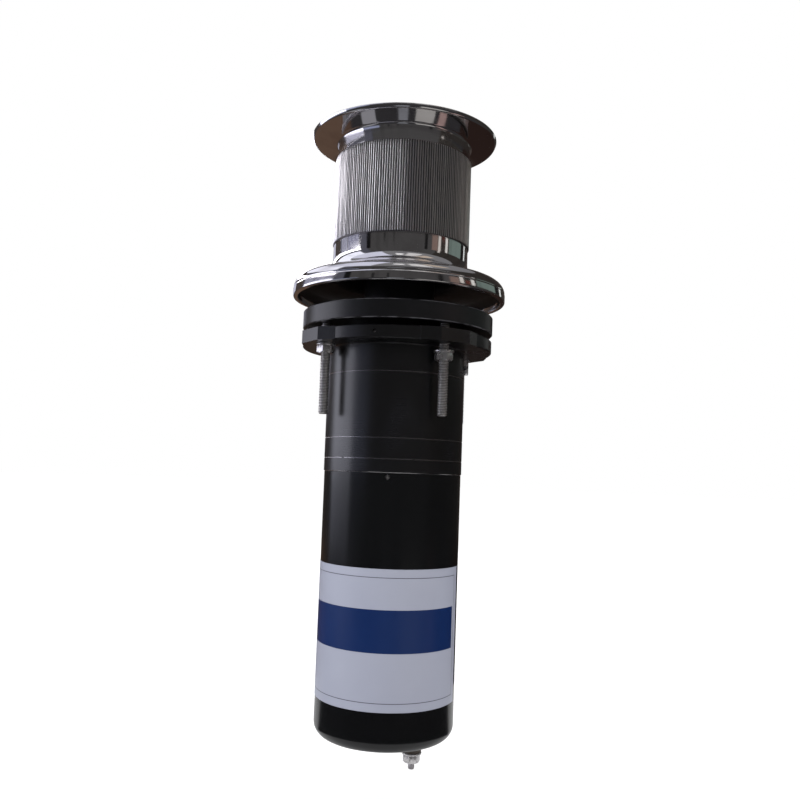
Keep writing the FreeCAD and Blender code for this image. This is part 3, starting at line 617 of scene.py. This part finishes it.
def zinc_steel(name="zinc_steel", grooves=0.0):
    """Bright plating with stains; where there is a thread, painted shade in its grooves and a painted
    highlight on its crests at this spacing in metres.
    """
    finish = Finish(name)
    spangle = finish.speckle(240.0, 4.0)
    stain = finish.between(finish.speckle(70.0, 3.0), 0.5, 0.75)
    colour = finish.blend(stain, (0.74, 0.72, 0.73, 1), (0.50, 0.47, 0.46, 1))
    rough = 0.20 + spangle * 0.16
    if grooves:
        turn = finish.node("Math", {"operation": "SINE"}, {0: finish.z * (TAU / grooves)})
        # darker thread grooves are painted shade, and brighter crests are a painted highlight
        colour = finish.blend(finish.between(turn, 0.0, 0.7), (0.92, 0.90, 0.90, 1), (0.26, 0.25, 0.25, 1))
        rough = rough + 0.12
    return finish.surface({
        "Base Color": colour,
        "Metallic": 0.95,
        "Roughness": rough,
        "Normal": finish.bump(spangle, 0.12, 0.03 * MM),
    })


FINISHES["zinc_steel"] = zinc_steel()
FINISHES["threaded_zinc"] = zinc_steel("threaded_zinc", PITCH * MM)

# %% [markdown]
# The pieces inside only show when the capstan is opened, but each has the finish its maker gave it. Most of
# them differ in colour, gloss and grain alone, so one function makes them all from a short table.

# %% Finishes of the inner pieces
INNER_FINISHES = {  # darker colour, lighter colour, metallic, roughness, grains to a metre
    "gear_steel": ((0.42, 0.42, 0.44), (0.54, 0.54, 0.56), 0.95, 0.24, 500.0),
    "bearing_steel": ((0.60, 0.61, 0.63), (0.70, 0.71, 0.73), 1.0, 0.14, 900.0),
    "seal_rubber": ((0.012, 0.012, 0.012), (0.026, 0.026, 0.027), 0.0, 0.55, 700.0),
    "magnet_ferrite": ((0.045, 0.045, 0.048), (0.085, 0.085, 0.090), 0.0, 0.62, 600.0),
    "core_steel": ((0.20, 0.20, 0.21), (0.33, 0.33, 0.35), 0.85, 0.42, 1400.0),
    "copper": ((0.62, 0.27, 0.13), (0.78, 0.40, 0.22), 0.95, 0.28, 800.0),
    "carbon": ((0.020, 0.020, 0.021), (0.045, 0.045, 0.046), 0.0, 0.60, 900.0),
    "insulation": ((0.030, 0.022, 0.016), (0.060, 0.045, 0.034), 0.0, 0.42, 500.0),
}


def inner_finish(name):
    darker, lighter, metallic, rough, scale = INNER_FINISHES[name]
    finish = Finish(name)
    grain = finish.speckle(scale, 3.0)
    cloud = finish.speckle(40.0, 3.0)
    return finish.surface({
        "Base Color": finish.blend(cloud * 0.6 + grain * 0.4, (*darker, 1), (*lighter, 1)),
        "Metallic": metallic,
        "Roughness": grain * 0.12 + rough,
        "Normal": finish.bump(grain, 0.15, 0.04 * MM),
    })


FINISHES.update({name: inner_finish(name) for name in INNER_FINISHES})
print("finishes", len(FINISHES))

# %% [markdown]
# Every node that is carried over keeps its mesh and place, and only takes its finish. The nodes that get a
# finer piece below take one too, as they come back if that piece is ever left out.

# %% Every carried-over node takes its finish
for name, node in frame["nodes"].items():
    node.data.materials.clear()
    node.data.materials.append(FINISHES[slot_of[name]])
print("nodes finished", len(frame["nodes"]))

# %% [markdown]
# ## Turned pieces
#
# Nearly everything on a capstan comes off a lathe, so the lesson has a lathe too. It starts from an outline
# of (radius, height) corners. A bevel modifier can round a corner, but a turned profile is drawn with arcs,
# and a polished one shows every arc that isn't true. So a corner may name the radius that leads to it.


# %% Outlines with arcs
def arc(start, end, bend, steps):
    """The points between start and end on the short arc of this radius."""
    chord = end - start
    half = chord.length / 2
    rise = math.sqrt(max(bend * bend - half * half, 0.0))
    left = Vector((-chord.y, chord.x)).normalized()
    side = 1 if bend > 0 else -1
    centre = (start + end) / 2 + left * rise * side
    first = start - centre
    sweep = 2 * math.asin(min(1.0, half / abs(bend))) * side
    points = []
    for step in range(1, steps):
        turn = sweep * step / steps
        points.append(centre + Vector((first.x * math.cos(turn) - first.y * math.sin(turn),
                                       first.x * math.sin(turn) + first.y * math.cos(turn))))
    return points


def outline(corners, steps=8):
    """Corners in millimetres as (radius, height) or (radius, height, bend), turned into metres.

    A bend is the radius of the arc that arrives at its corner. It turns to the left when it is positive.
    """
    path = []
    for index, corner in enumerate(corners):
        here = Vector(corner[:2])
        if len(corner) > 2:
            path += arc(Vector(corners[index - 1][:2]), here, corner[2], steps)
        path.append(here)
    return [(point.x * MM, point.y * MM) for point in path]


def in_metres(corners):
    """The same for corners that are close together, with no arcs between them."""
    return [(radius * MM, height * MM) for radius, height in corners]


print("arc check", outline([(10, 0), (12, 2, 2.0), (0, 2)], 2))

# %% [markdown]
# The lathe carries that outline round an upright axis. Blender's Screw modifier does that as well, but only
# for round things. What isn't round, such as a hexagon, a rib or a thread, is a change of the radius with
# angle and height, and this lathe takes it as a function. That keeps every piece one closed skin.

# %% The lathe
ON_AXIS = 1e-7


def turned(path, segments=96, spot=(0.0, 0.0), shape=None, tilt=None):
    """A closed skin: the path carried round an upright axis through the spot, in metres.

    shape(angle, radius, height) gives the radius that is really there. tilt lays the finished skin down.
    """
    corners, rows = [], []
    for radius, height in path:
        if radius < ON_AXIS:
            rows.append([len(corners)])
            corners.append(Vector((*spot, height)))
            continue
        row = []
        for k in range(segments):
            angle = TAU * k / segments
            reach = shape(angle, radius, height) if shape else radius
            x, y = spot[0] + reach * math.cos(angle), spot[1] + reach * math.sin(angle)
            row.append(len(corners))
            corners.append(Vector((x, y, height)))
        rows.append(row)
    faces = []
    for index, row in enumerate(rows):
        above = rows[(index + 1) % len(rows)]
        for k in range(segments):
            ahead = (k + 1) % segments
            if len(row) > 1 and len(above) > 1:
                faces.append((row[k], row[ahead], above[ahead], above[k]))
            elif len(row) > 1:
                faces.append((row[k], row[ahead], above[0]))
            elif len(above) > 1:
                faces.append((row[0], above[ahead], above[k]))
    if tilt:
        corners = [tilt @ corner for corner in corners]
    return corners, faces


print("lathe check", [len(part) for part in turned([(0.0, 0.0), (0.01, 0.0), (0.0, 0.01)], 8)])

# %% [markdown]
# A piece is one object from one or more skins. It shades smooth, apart from edges that are sharper than a
# set angle, so arcs look round and corners stay crisp. It rides on the body that carries it on the real
# capstan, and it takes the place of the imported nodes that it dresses.

# %% From skins to a piece
SHARP = 32.0
MIRROR_SHARP = 24.0


def piece(name, skins, finish, body, replaced=(), crease=SHARP):
    """One object from several closed skins: it gets its finish, rides on its body and replaces its nodes."""
    mesh = bpy.data.meshes.new(name)
    corners, faces = [], []
    for some_corners, some_faces in skins:
        first = len(corners)
        corners += some_corners
        faces += [tuple(first + k for k in face) for face in some_faces]
    mesh.from_pydata(corners, [], faces)
    skin = bmesh.new()
    skin.from_mesh(mesh)
    bmesh.ops.recalc_face_normals(skin, faces=skin.faces)
    skin.to_mesh(mesh)
    skin.free()
    mesh.shade_smooth()
    mesh.set_sharp_from_angle(angle=math.radians(crease))
    mesh.materials.append(FINISHES[finish])
    made = bpy.data.objects.new(name, mesh)
    bpy.context.scene.collection.objects.link(made)
    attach(made, body)
    if replaced:
        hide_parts(*replaced)
    print(name, len(mesh.polygons), "faces on", body)
    return made


print("pieces can be made")

# %% [markdown]
# ## The warping drum
#
# The drum is one casting: a wide rim whose underside falls gently to a small cove, a waist with fine ribs
# that grip the rope, a plain band and a domed flange with an upright edge. It could be cut from the packed
# solid with more facets, but its mirror finish shows every one. So it is turned again from an outline with
# true arcs and many steps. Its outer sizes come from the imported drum.

# %% The drum's polished body
drum_low, drum_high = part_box("drum")
FLANGE_REACH = drum_high.x / MM
FLANGE_LOW = drum_low.z / MM
RIM_TOP = drum_high.z / MM
RIM_REACH, RIM_LOW = 79.2, RIM_TOP - 4.0
RIBS_LOW, RIBS_TOP = 73.5, 148.5
BAND_REACH, NECK_REACH = 57.3, 56.6
HOLLOW_REACH, HUB_REACH, HUB_LOW, SHAFT_HOLE = 50.0, 22.0, 122.0, 12.6

hub_and_hollow = [
    (SHAFT_HOLE, HUB_LOW + 0.6), (SHAFT_HOLE + 0.6, HUB_LOW), (HUB_REACH - 1.0, HUB_LOW),
    (HUB_REACH, HUB_LOW + 1.0, 1.2), (HUB_REACH, 151.0), (HUB_REACH + 5.0, 156.0, -5.0),
    (HOLLOW_REACH - 6.0, 156.0), (HOLLOW_REACH, 150.0, -6.0), (HOLLOW_REACH, 50.0),
    (56.0, 42.5, 8.0), (79.0, 38.0), (FLANGE_REACH - 4.0, FLANGE_LOW + 0.8, -14.0),
]
flange_and_dome = [
    (FLANGE_REACH - 3.4, FLANGE_LOW, 1.2), (FLANGE_REACH - 1.5, FLANGE_LOW),
    (FLANGE_REACH, FLANGE_LOW + 1.5, 1.5), (FLANGE_REACH, 33.5), (FLANGE_REACH - 0.4, 34.4, 2.0),
    (FLANGE_REACH - 0.3, 36.0, -2.5), (82.5, 43.6, 9.5), (72.6, 46.1, 60.0),
]
band_and_neck = [
    (BAND_REACH, 60.8, -14.6), (BAND_REACH, RIBS_LOW - 1.2), (BAND_REACH - 0.5, RIBS_LOW - 0.8),
    (BAND_REACH - 0.5, RIBS_LOW + 1.0), (BAND_REACH - 0.5, RIBS_TOP - 1.0),
    (NECK_REACH, RIBS_TOP + 0.4), (NECK_REACH, 160.2), (59.0, 162.8, -2.7),
]
rim_and_recess = [
    (RIM_REACH - 2.4, RIM_LOW + 0.1), (RIM_REACH - 0.9, RIM_LOW + 0.9, 1.8),
    (RIM_REACH, RIM_TOP - 0.9, 9.0), (RIM_REACH - 1.0, RIM_TOP, 1.1), (62.0, RIM_TOP - 0.4),
    (56.0, RIM_TOP - 3.0, 12.0), (30.0, RIM_TOP - 3.0), (29.2, RIM_TOP - 3.6, -0.9), (29.2, 162.0),
    (SHAFT_HOLE + 0.6, 162.0), (SHAFT_HOLE, 161.4),
]
drum_outline = outline(hub_and_hollow + flange_and_dome + band_and_neck + rim_and_recess, 10)
piece("drum_body", [turned(drum_outline, 288)], "polished_steel", "drum_group", ["drum"], MIRROR_SHARP)

# %% [markdown]
# The ribs grip the rope. They are rolled or cast, so none is quite straight and none quite as deep as the
# next. A relief in the finish would be cheaper, but it leaves the outline smooth, and here the ribs show at
# the drum's sides. So they are a sleeve of their own, as only they need many thousands of corners. Their
# section is a cosine, as a round crown catches the light from many sides, and smooth noise makes each one
# wander.

# %% The ribbed sleeve
RIB_COUNT = 180
CORNERS_PER_RIB = 10
SLEEVE_INNER = 56.5
RIB_WANDER, RIB_UNEVEN = 0.16, 0.35
RIB_START = RIB_ROOT * 0.995


def rib_radius(angle, radius, height):
    """Round crowns and round grooves; each rib wanders and differs a little."""
    if radius < RIB_START:
        return radius
    across, along = math.cos(angle), math.sin(angle)
    wander = RIB_WANDER * noise.noise(Vector((across * 45, along * 45, height * 14)))
    uneven = 1.0 - RIB_UNEVEN * abs(noise.noise(Vector((across * 25, along * 25, 5.0))))
    wave = 0.5 + 0.5 * math.cos(TAU * (angle / TAU * RIB_COUNT + wander))
    depth = (RIB_TIP - RIB_ROOT) * min(1.0, (radius - RIB_START) / (RIB_TIP - RIB_START))
    return min(RIB_TIP, RIB_ROOT + depth * uneven * wave)


LEVELS = 34
rib_end = [(SLEEVE_INNER, 0.3), (57.35, 0.0), (57.75, 0.25), (58.1, 0.6)]
straight = RIBS_TOP - RIBS_LOW - 2.0
sleeve = [(reach, RIBS_LOW + up) for reach, up in rib_end]
sleeve += [(TIP_REACH, RIBS_LOW + 1.0 + straight * k / LEVELS) for k in range(LEVELS + 1)]
sleeve += [(reach, RIBS_TOP - up) for reach, up in reversed(rib_end)]
rib_skin = turned(in_metres(sleeve), RIB_COUNT * CORNERS_PER_RIB, shape=rib_radius)
drum_ribs = piece("drum_ribs", [rib_skin], "ribbed_steel", "drum_group", crease=70.0)

# %% [markdown]
# The cap closes the shaft's end and has a hexagonal socket for the emergency handle. A boolean cut would
# make the socket, and leave long thin faces on a polished dome. A socket is only a hole that isn't round,
# so the lathe makes it: inside the socket the radius follows a hexagon.

# %% The cap with its hexagonal socket
cap_low, cap_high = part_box("drum_cap")
CAP_LOW, CAP_TOP = cap_low.z / MM, cap_high.z / MM
SOCKET_FLATS, SOCKET_DEEP = 17.0 * MM, 7.0
SOCKET_ROOM = 8.6 * MM


def hexagon_radius(angle, flats):
    """How far a hexagon reaches at this angle, with a corner on the X axis."""
    within = (angle % (math.pi / 3)) - math.pi / 6
    return flats / 2 / math.cos(within)


def cap_shape(angle, radius, height):
    in_socket = radius < SOCKET_ROOM and height > (CAP_TOP - SOCKET_DEEP - 0.05) * MM
    return hexagon_radius(angle, SOCKET_FLATS) if in_socket else radius


cap_outline = outline([
    (10.1, CAP_LOW), (27.9, CAP_LOW), (28.6, CAP_LOW + 0.7, 0.9), (28.6, 168.0),
    (26.0, 171.5, 5.0), (14.0, CAP_TOP - 0.3, 30.0), (12.0, CAP_TOP), (10.6, CAP_TOP), (8.5, CAP_TOP - 0.9),
    (8.5, CAP_TOP - SOCKET_DEEP), (0.0, CAP_TOP - SOCKET_DEEP), (0.0, 168.0), (10.1, 168.0),
], 8)
cap_skin = turned(cap_outline, 144, shape=cap_shape)
piece("drum_cap_dressed", [cap_skin], "polished_steel", "drum_group", ["drum_cap"], MIRROR_SHARP)

# %% [markdown]
# ## Fasteners
#
# Four long M8 screws clamp the deck between the base and the gearbox head. They stand on one circle, so one
# helper finds a spot on it. A second gives the lathe its thread: the radius follows a saw with flattened
# crests that climbs one pitch in a turn. A helix could be swept instead, but it would have to be joined to
# the shank by a boolean, while this way the thread is the shank's own skin.

# %% Where the fasteners sit, and how a thread is cut
BOLT_CIRCLE = 68.0
BOLT_ANGLES = [-58.5 + 90 * k for k in range(4)]
BOLT_LOW, BOLT_HIGH = (corner.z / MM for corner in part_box("clamping_bolts"))
ROWS_PER_TURN = 8


def around(angle, radius):
    """A spot in metres at this angle, in degrees from -Y towards +X."""
    turn = math.radians(angle)
    return radius * MM * math.sin(turn), -radius * MM * math.cos(turn)


def thread_shape(crest, root, pitch, low, high, flats=0.0, head_from=1e9, twist=0.0):
    """A lathe shape: a thread between two heights and a hexagon above a third, in millimetres."""
    def shape(angle, radius, height):
        level = height / MM
        if flats and level > head_from:
            return min(radius, hexagon_radius(angle - twist, flats * MM))
        if not low < level < high or radius < root * MM * 0.98:
            return radius
        phase = (level / pitch - angle / TAU) % 1.0
        saw = abs(2 * phase - 1)
        fill = max(0.0, min(1.0, 1.35 * saw - 0.15))
        return min(radius, (crest - (crest - root) * (1 - fill)) * MM)
    return shape


def thread_rows(radius, low, high, pitch):
    """Outline corners up a threaded length, close enough together for the thread to show."""
    count = max(2, round((high - low) / pitch * ROWS_PER_TURN))
    return in_metres([(radius, low + (high - low) * k / count) for k in range(count + 1)])


print("bolts from", round(BOLT_LOW, 2), "to", round(BOLT_HIGH, 2))

# %% [markdown]
# A clamping bolt hangs by its hexagon head in a pocket of the base. The plain shank goes through the deck,
# and the rolled thread runs down to a bevelled end. The whole bolt is one outline, and the shape changes it
# on the way up: round at the end, threaded, round at the shank, six-sided at the head.

# %% Clamping bolts with rolled threads
THREAD_CREST, THREAD_ROOT, THREAD_TOP = 4.0, 3.42, -0.6
HEAD_FLATS = 13.0
HEAD_CORNER = HEAD_FLATS / math.sqrt(3)
HEAD_SEAT = BOLT_HIGH - 5.3


def bolt_skin(angle):
    path = in_metres([(0.0, BOLT_LOW), (2.9, BOLT_LOW), (3.45, BOLT_LOW + 0.55)])
    path += thread_rows(THREAD_CREST, BOLT_LOW + 0.9, THREAD_TOP, PITCH)
    path += outline([(3.78, -0.2), (3.78, HEAD_SEAT), (6.1, HEAD_SEAT), (6.5, HEAD_SEAT + 0.35)])
    path += outline([(HEAD_CORNER, HEAD_SEAT + 0.7), (HEAD_CORNER, BOLT_HIGH - 0.7), (6.3, BOLT_HIGH),
                     (0.0, BOLT_HIGH)])
    shape = thread_shape(THREAD_CREST, THREAD_ROOT, PITCH, BOLT_LOW, THREAD_TOP,
                         HEAD_FLATS, HEAD_SEAT + 0.02, math.radians(angle))
    return turned(path, 36, around(angle, BOLT_CIRCLE), shape)


bolt_skins = [bolt_skin(angle) for angle in BOLT_ANGLES]
piece("clamping_bolts_threaded", bolt_skins, "threaded_zinc", "frame", ["clamping_bolts"], 28.0)

# %% [markdown]
# Under the flange each bolt carries a washer and a nut. One of the nuts isn't run all the way up, so its
# washer hangs on it a few millimetres under the flange. A washer is a stamped ring with soft edges, and a
# nut is a hexagon whose corners are turned away at both faces.

# %% Washers and nuts under the flange
FLANGE_UNDERSIDE = -15.6
NUT_DROPS = [0.0, 5.2, 0.0, 0.0]
WASHER_THICK, NUT_HIGH = 1.6, 6.5
NUT_TWIST = 12


def ring_skin(inner, outer, low, high, spot, edge=0.25):
    path = outline([
        (inner, low + edge), (inner + edge, low), (outer - edge, low), (outer, low + edge, edge * 1.2),
        (outer, high - edge), (outer - edge, high, edge * 1.2), (inner + edge, high), (inner, high - edge),
    ], 3)
    return turned(path, 48, spot)


def nut_skin(flats, bore, low, high, spot, twist):
    """A hexagon nut with bevelled corners and a countersunk bore."""
    corner = flats / math.sqrt(3)
    path = outline([
        (bore, low + 0.7), (bore + 0.7, low), (flats / 2 - 0.1, low), (corner, low + 0.75),
        (corner, high - 0.75), (flats / 2 - 0.1, high), (bore + 0.7, high), (bore, high - 0.7),
    ], 3)

    def shape(angle, radius, height):
        if radius < (bore + 1.0) * MM:
            return radius
        return min(radius, hexagon_radius(angle - twist, flats * MM))

    return turned(path, 72, spot, shape)


washer_skins, nut_skins = [], []
for angle, drop in zip(BOLT_ANGLES, NUT_DROPS):
    face = FLANGE_UNDERSIDE - drop
    seat = face - WASHER_THICK
    spot = around(angle, BOLT_CIRCLE)
    washer_skins.append(ring_skin(4.2, 8.0, seat, face, spot))
    nut_skins.append(nut_skin(HEAD_FLATS, 4.03, seat - NUT_HIGH, seat, spot, math.radians(angle + NUT_TWIST)))
piece("flange_washers_dressed", washer_skins, "zinc_steel", "frame", ["flange_washers"])
piece("flange_nuts_dressed", nut_skins, "zinc_steel", "frame", ["flange_nuts"])

# %% [markdown]
# The two terminals carry the motor's current. Each is a plated stud with a moulded collar that keeps it off
# the can, a washer and a nut for the cable lug. Both are made by one loop from the same helpers as the
# bolts, only with a finer thread on the thin end.

# %% Terminals
TERMINAL_SPOTS = [(23.0 * MM, -19.0 * MM), (23.0 * MM, 19.0 * MM)]
STUD_LOW, STUD_HIGH = (corner.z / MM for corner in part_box("terminal_studs"))
COLLAR_LOW, COLLAR_HIGH = (corner.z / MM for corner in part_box("terminal_insulators"))
CAN_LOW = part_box("motor_can")[0].z / MM
STUD_REACH, TIP_CREST, TIP_ROOT, TIP_PITCH, TIP_TOP = 3.0, 2.6, 2.2, 0.9, -345.6
stud_skins, collar_skins, lug_washer_skins, lug_nut_skins = [], [], [], []
for spot in TERMINAL_SPOTS:
    stud = in_metres([(0.0, STUD_LOW), (1.9, STUD_LOW), (2.4, STUD_LOW + 0.5)])
    stud += thread_rows(TIP_CREST, STUD_LOW + 0.8, TIP_TOP, TIP_PITCH)
    stud += in_metres([(TIP_CREST, TIP_TOP + 0.05), (STUD_REACH, TIP_TOP + 0.3), (STUD_REACH, STUD_HIGH),
                       (0.0, STUD_HIGH)])
    tip_thread = thread_shape(TIP_CREST, TIP_ROOT, TIP_PITCH, STUD_LOW, TIP_TOP - 0.1)
    stud_skins.append(turned(stud, 36, spot, tip_thread))
    collar = outline([
        (3.05, COLLAR_LOW), (7.0, COLLAR_LOW), (7.6, COLLAR_LOW + 0.6, 0.6), (7.6, CAN_LOW - 0.5),
        (7.1, CAN_LOW, 0.5), (4.5, CAN_LOW), (4.5, COLLAR_HIGH), (3.05, COLLAR_HIGH),
    ], 4)
    collar_skins.append(turned(collar, 60, spot))
    seat = COLLAR_LOW - WASHER_THICK
    lug_washer_skins.append(ring_skin(3.2, 7.9, seat, COLLAR_LOW, spot))
    lug_nut_skins.append(nut_skin(12.0, 3.03, COLLAR_LOW - 8.0, seat, spot, math.radians(10)))
piece("terminal_studs_threaded", stud_skins, "zinc_steel", "frame", ["terminal_studs"], 28.0)
piece("terminal_insulators_dressed", collar_skins, "insulation", "frame", ["terminal_insulators"])
piece("terminal_washers_dressed", lug_washer_skins, "zinc_steel", "frame", ["terminal_washers"])
piece("terminal_nuts_dressed", lug_nut_skins, "zinc_steel", "frame", ["terminal_nuts"])

# %% [markdown]
# The oil plug, the set screw in the flange's edge and the four screws of the can point at the axis. The
# lathe only turns upright things, so they are turned upright and then laid down by one matrix.

# %% How a turned piece is laid along the radius
def laid(angle, height, inner):
    """A matrix that lays a piece turned round Z along the radius, its foot this far out, in millimetres."""
    x, y = around(angle, inner)
    upright = Matrix.Rotation(math.radians(angle), 4, "Z")
    return Matrix.Translation((x, y, height * MM)) @ upright @ Matrix.Rotation(math.radians(90), 4, "X")


def socket_shape(flats, bottom):
    """A hexagonal socket from this height up, in millimetres."""
    def shape(angle, radius, height):
        deep = height / MM > bottom - 0.01 and radius < (flats / 2 + 0.05) * MM
        return hexagon_radius(angle, flats * MM) if deep else radius
    return shape


def screw_skin(angle, height, inner, outer, radius, socket, deep):
    """A plain screw end with a hexagonal socket, from one distance to the other."""
    long = outer - inner
    path = outline([
        (0.0, 0.0), (radius - 0.3, 0.0), (radius, 0.3), (radius, long - 0.35), (radius - 0.35, long, 0.4),
        (socket / 2 + 0.3, long), (socket / 2, long - 0.25), (socket / 2, long - deep), (0.0, long - deep),
    ], 3)
    return turned(path, 48, shape=socket_shape(socket, long - 0.3), tilt=laid(angle, height, inner))


print("a screw has", len(screw_skin(0, 0, 10, 15, 2, 1.7, 1.3)[1]), "faces")

# %% [markdown]
# The plug is screwed into the gearbox wall up to its collar, and is opened to fill in oil. The set screw
# and the can screws sit a little under the surface, so each leaves a small dark hole with a glint in it.

# %% Plug and screws
plug_outline = outline([
    (0.0, 0.0), (2.2, 0.0), (2.5, 0.3), (2.5, 10.6), (3.6, 10.6), (3.9, 10.9, 0.4), (3.9, 13.2),
    (3.3, 13.8, 0.6), (1.9, 13.8), (1.75, 13.6), (1.75, 11.9), (0.0, 11.9),
], 4)
plug_skin = turned(plug_outline, 60, shape=socket_shape(3.5, 13.6), tilt=laid(82.0, -30.0, 47.0))
set_screw_skin = screw_skin(-14.0, -10.3, 70.0, 76.6, 1.5, 1.3, 1.4)
can_screw_skins = [screw_skin(-5 + 90 * k, -121.0, 50.6, 55.2, 2.0, 1.7, 1.3) for k in range(4)]
piece("oil_plug_dressed", [plug_skin], "zinc_steel", "frame", ["oil_plug"])
piece("flange_set_screw_dressed", [set_screw_skin], "zinc_steel", "frame", ["flange_set_screw"])
piece("can_screws_dressed", can_screw_skins, "zinc_steel", "frame", ["can_screws"])

# %% [markdown]
# ## The label
#
# A pale vinyl label is wrapped round the can, with a thin dark frame line and a blue band. It stays bare:
# the colours and the layout are enough. The print could be an image on the film, but a line and a band are
# only distances, so the finish finds them from the height and from the angle round the can.

# %% The print on the label
LABEL_LOW, LABEL_HIGH = -298.0, -191.0
LABEL_ANGLES = (-120.0, 73.0)
LINE_INSET, LINE_WIDE = 6.6, 0.55
BAND_LOW, BAND_HIGH, BAND_END = -254.4, -221.8, 63.4
FRAME_INK = (0.075, 0.075, 0.10, 1)


def middle_and_half(low, high):
    return (low + high) / 2, (high - low) / 2


def printed_vinyl():
    """Pale film, one frame line and one band."""
    finish = Finish("printed_vinyl")
    turn = finish.node("Math", {"operation": "ARCTAN2"}, {0: finish.x, 1: 0.0 - finish.y}) * (180 / math.pi)
    degree = 57.1 * MM * math.radians(1)
    side, half_side = middle_and_half(*LABEL_ANGLES)
    level, half_level = middle_and_half(LABEL_LOW * MM, LABEL_HIGH * MM)
    in_from_side = half_side * degree - abs(turn - side) * degree
    in_from_end = half_level - abs(finish.z - level)
    nearest = finish.node("Math", {"operation": "MINIMUM"}, {0: in_from_side, 1: in_from_end})
    frame_line = finish.line_at(nearest, LINE_INSET * MM, LINE_WIDE * MM)
    band = finish.line_at(finish.z, (BAND_LOW + BAND_HIGH) / 2 * MM, (BAND_HIGH - BAND_LOW) * MM)
    band = band * (turn < BAND_END)
    cloud = finish.speckle(22.0, 3.0)
    film = finish.blend(cloud, (0.33, 0.345, 0.43, 1), (0.38, 0.395, 0.475, 1))
    blue = finish.blend(cloud, (0.0008, 0.015, 0.085, 1), (0.0016, 0.021, 0.110, 1))
    wrinkle = finish.speckle(45.0, 2.0)
    return finish.surface({
        "Base Color": finish.blend(band, finish.blend(frame_line, film, FRAME_INK), blue),
        "Roughness": cloud * 0.08 + 0.30,
        "Specular IOR Level": 0.42,
        "Normal": finish.bump(wrinkle, 0.06, 0.2 * MM),
    })


FINISHES["printed_vinyl"] = printed_vinyl()

# %% [markdown]
# The film is a real skin an eighth of a millimetre thick. A plane pushed on to the can would fight with the
# paint for the same place. The film stands proud of the paint by its own thickness, so light catches its
# edge.

# %% The film on the can
FILM_REACHES = (57.02 * MM, 57.15 * MM)
COLUMNS, ROWS = 120, 24


def label_skin():
    """A curved sheet with thickness: an inner face, an outer face and the edge all round."""
    corners, faces = [], []
    first, last = (math.radians(angle) for angle in LABEL_ANGLES)
    for reach in FILM_REACHES:
        for row in range(ROWS + 1):
            height = (LABEL_LOW + (LABEL_HIGH - LABEL_LOW) * row / ROWS) * MM
            for column in range(COLUMNS + 1):
                angle = first + (last - first) * column / COLUMNS
                corners.append(Vector((reach * math.sin(angle), -reach * math.cos(angle), height)))
    across = COLUMNS + 1
    outer = across * (ROWS + 1)
    for row in range(ROWS):
        for column in range(COLUMNS):
            here = row * across + column
            above = here + across
            faces.append((here, above, above + 1, here + 1))
            faces.append((outer + here, outer + here + 1, outer + above + 1, outer + above))
    edge = list(range(across)) + [across * (row + 1) - 1 for row in range(1, ROWS + 1)]
    edge += [across * ROWS + column for column in range(COLUMNS - 1, -1, -1)]
    edge += [across * row for row in range(ROWS - 1, 0, -1)]
    for here, there in zip(edge, edge[1:] + edge[:1]):
        faces.append((here, there, outer + there, outer + here))
    return corners, faces


piece("label", [label_skin()], "printed_vinyl", "frame")
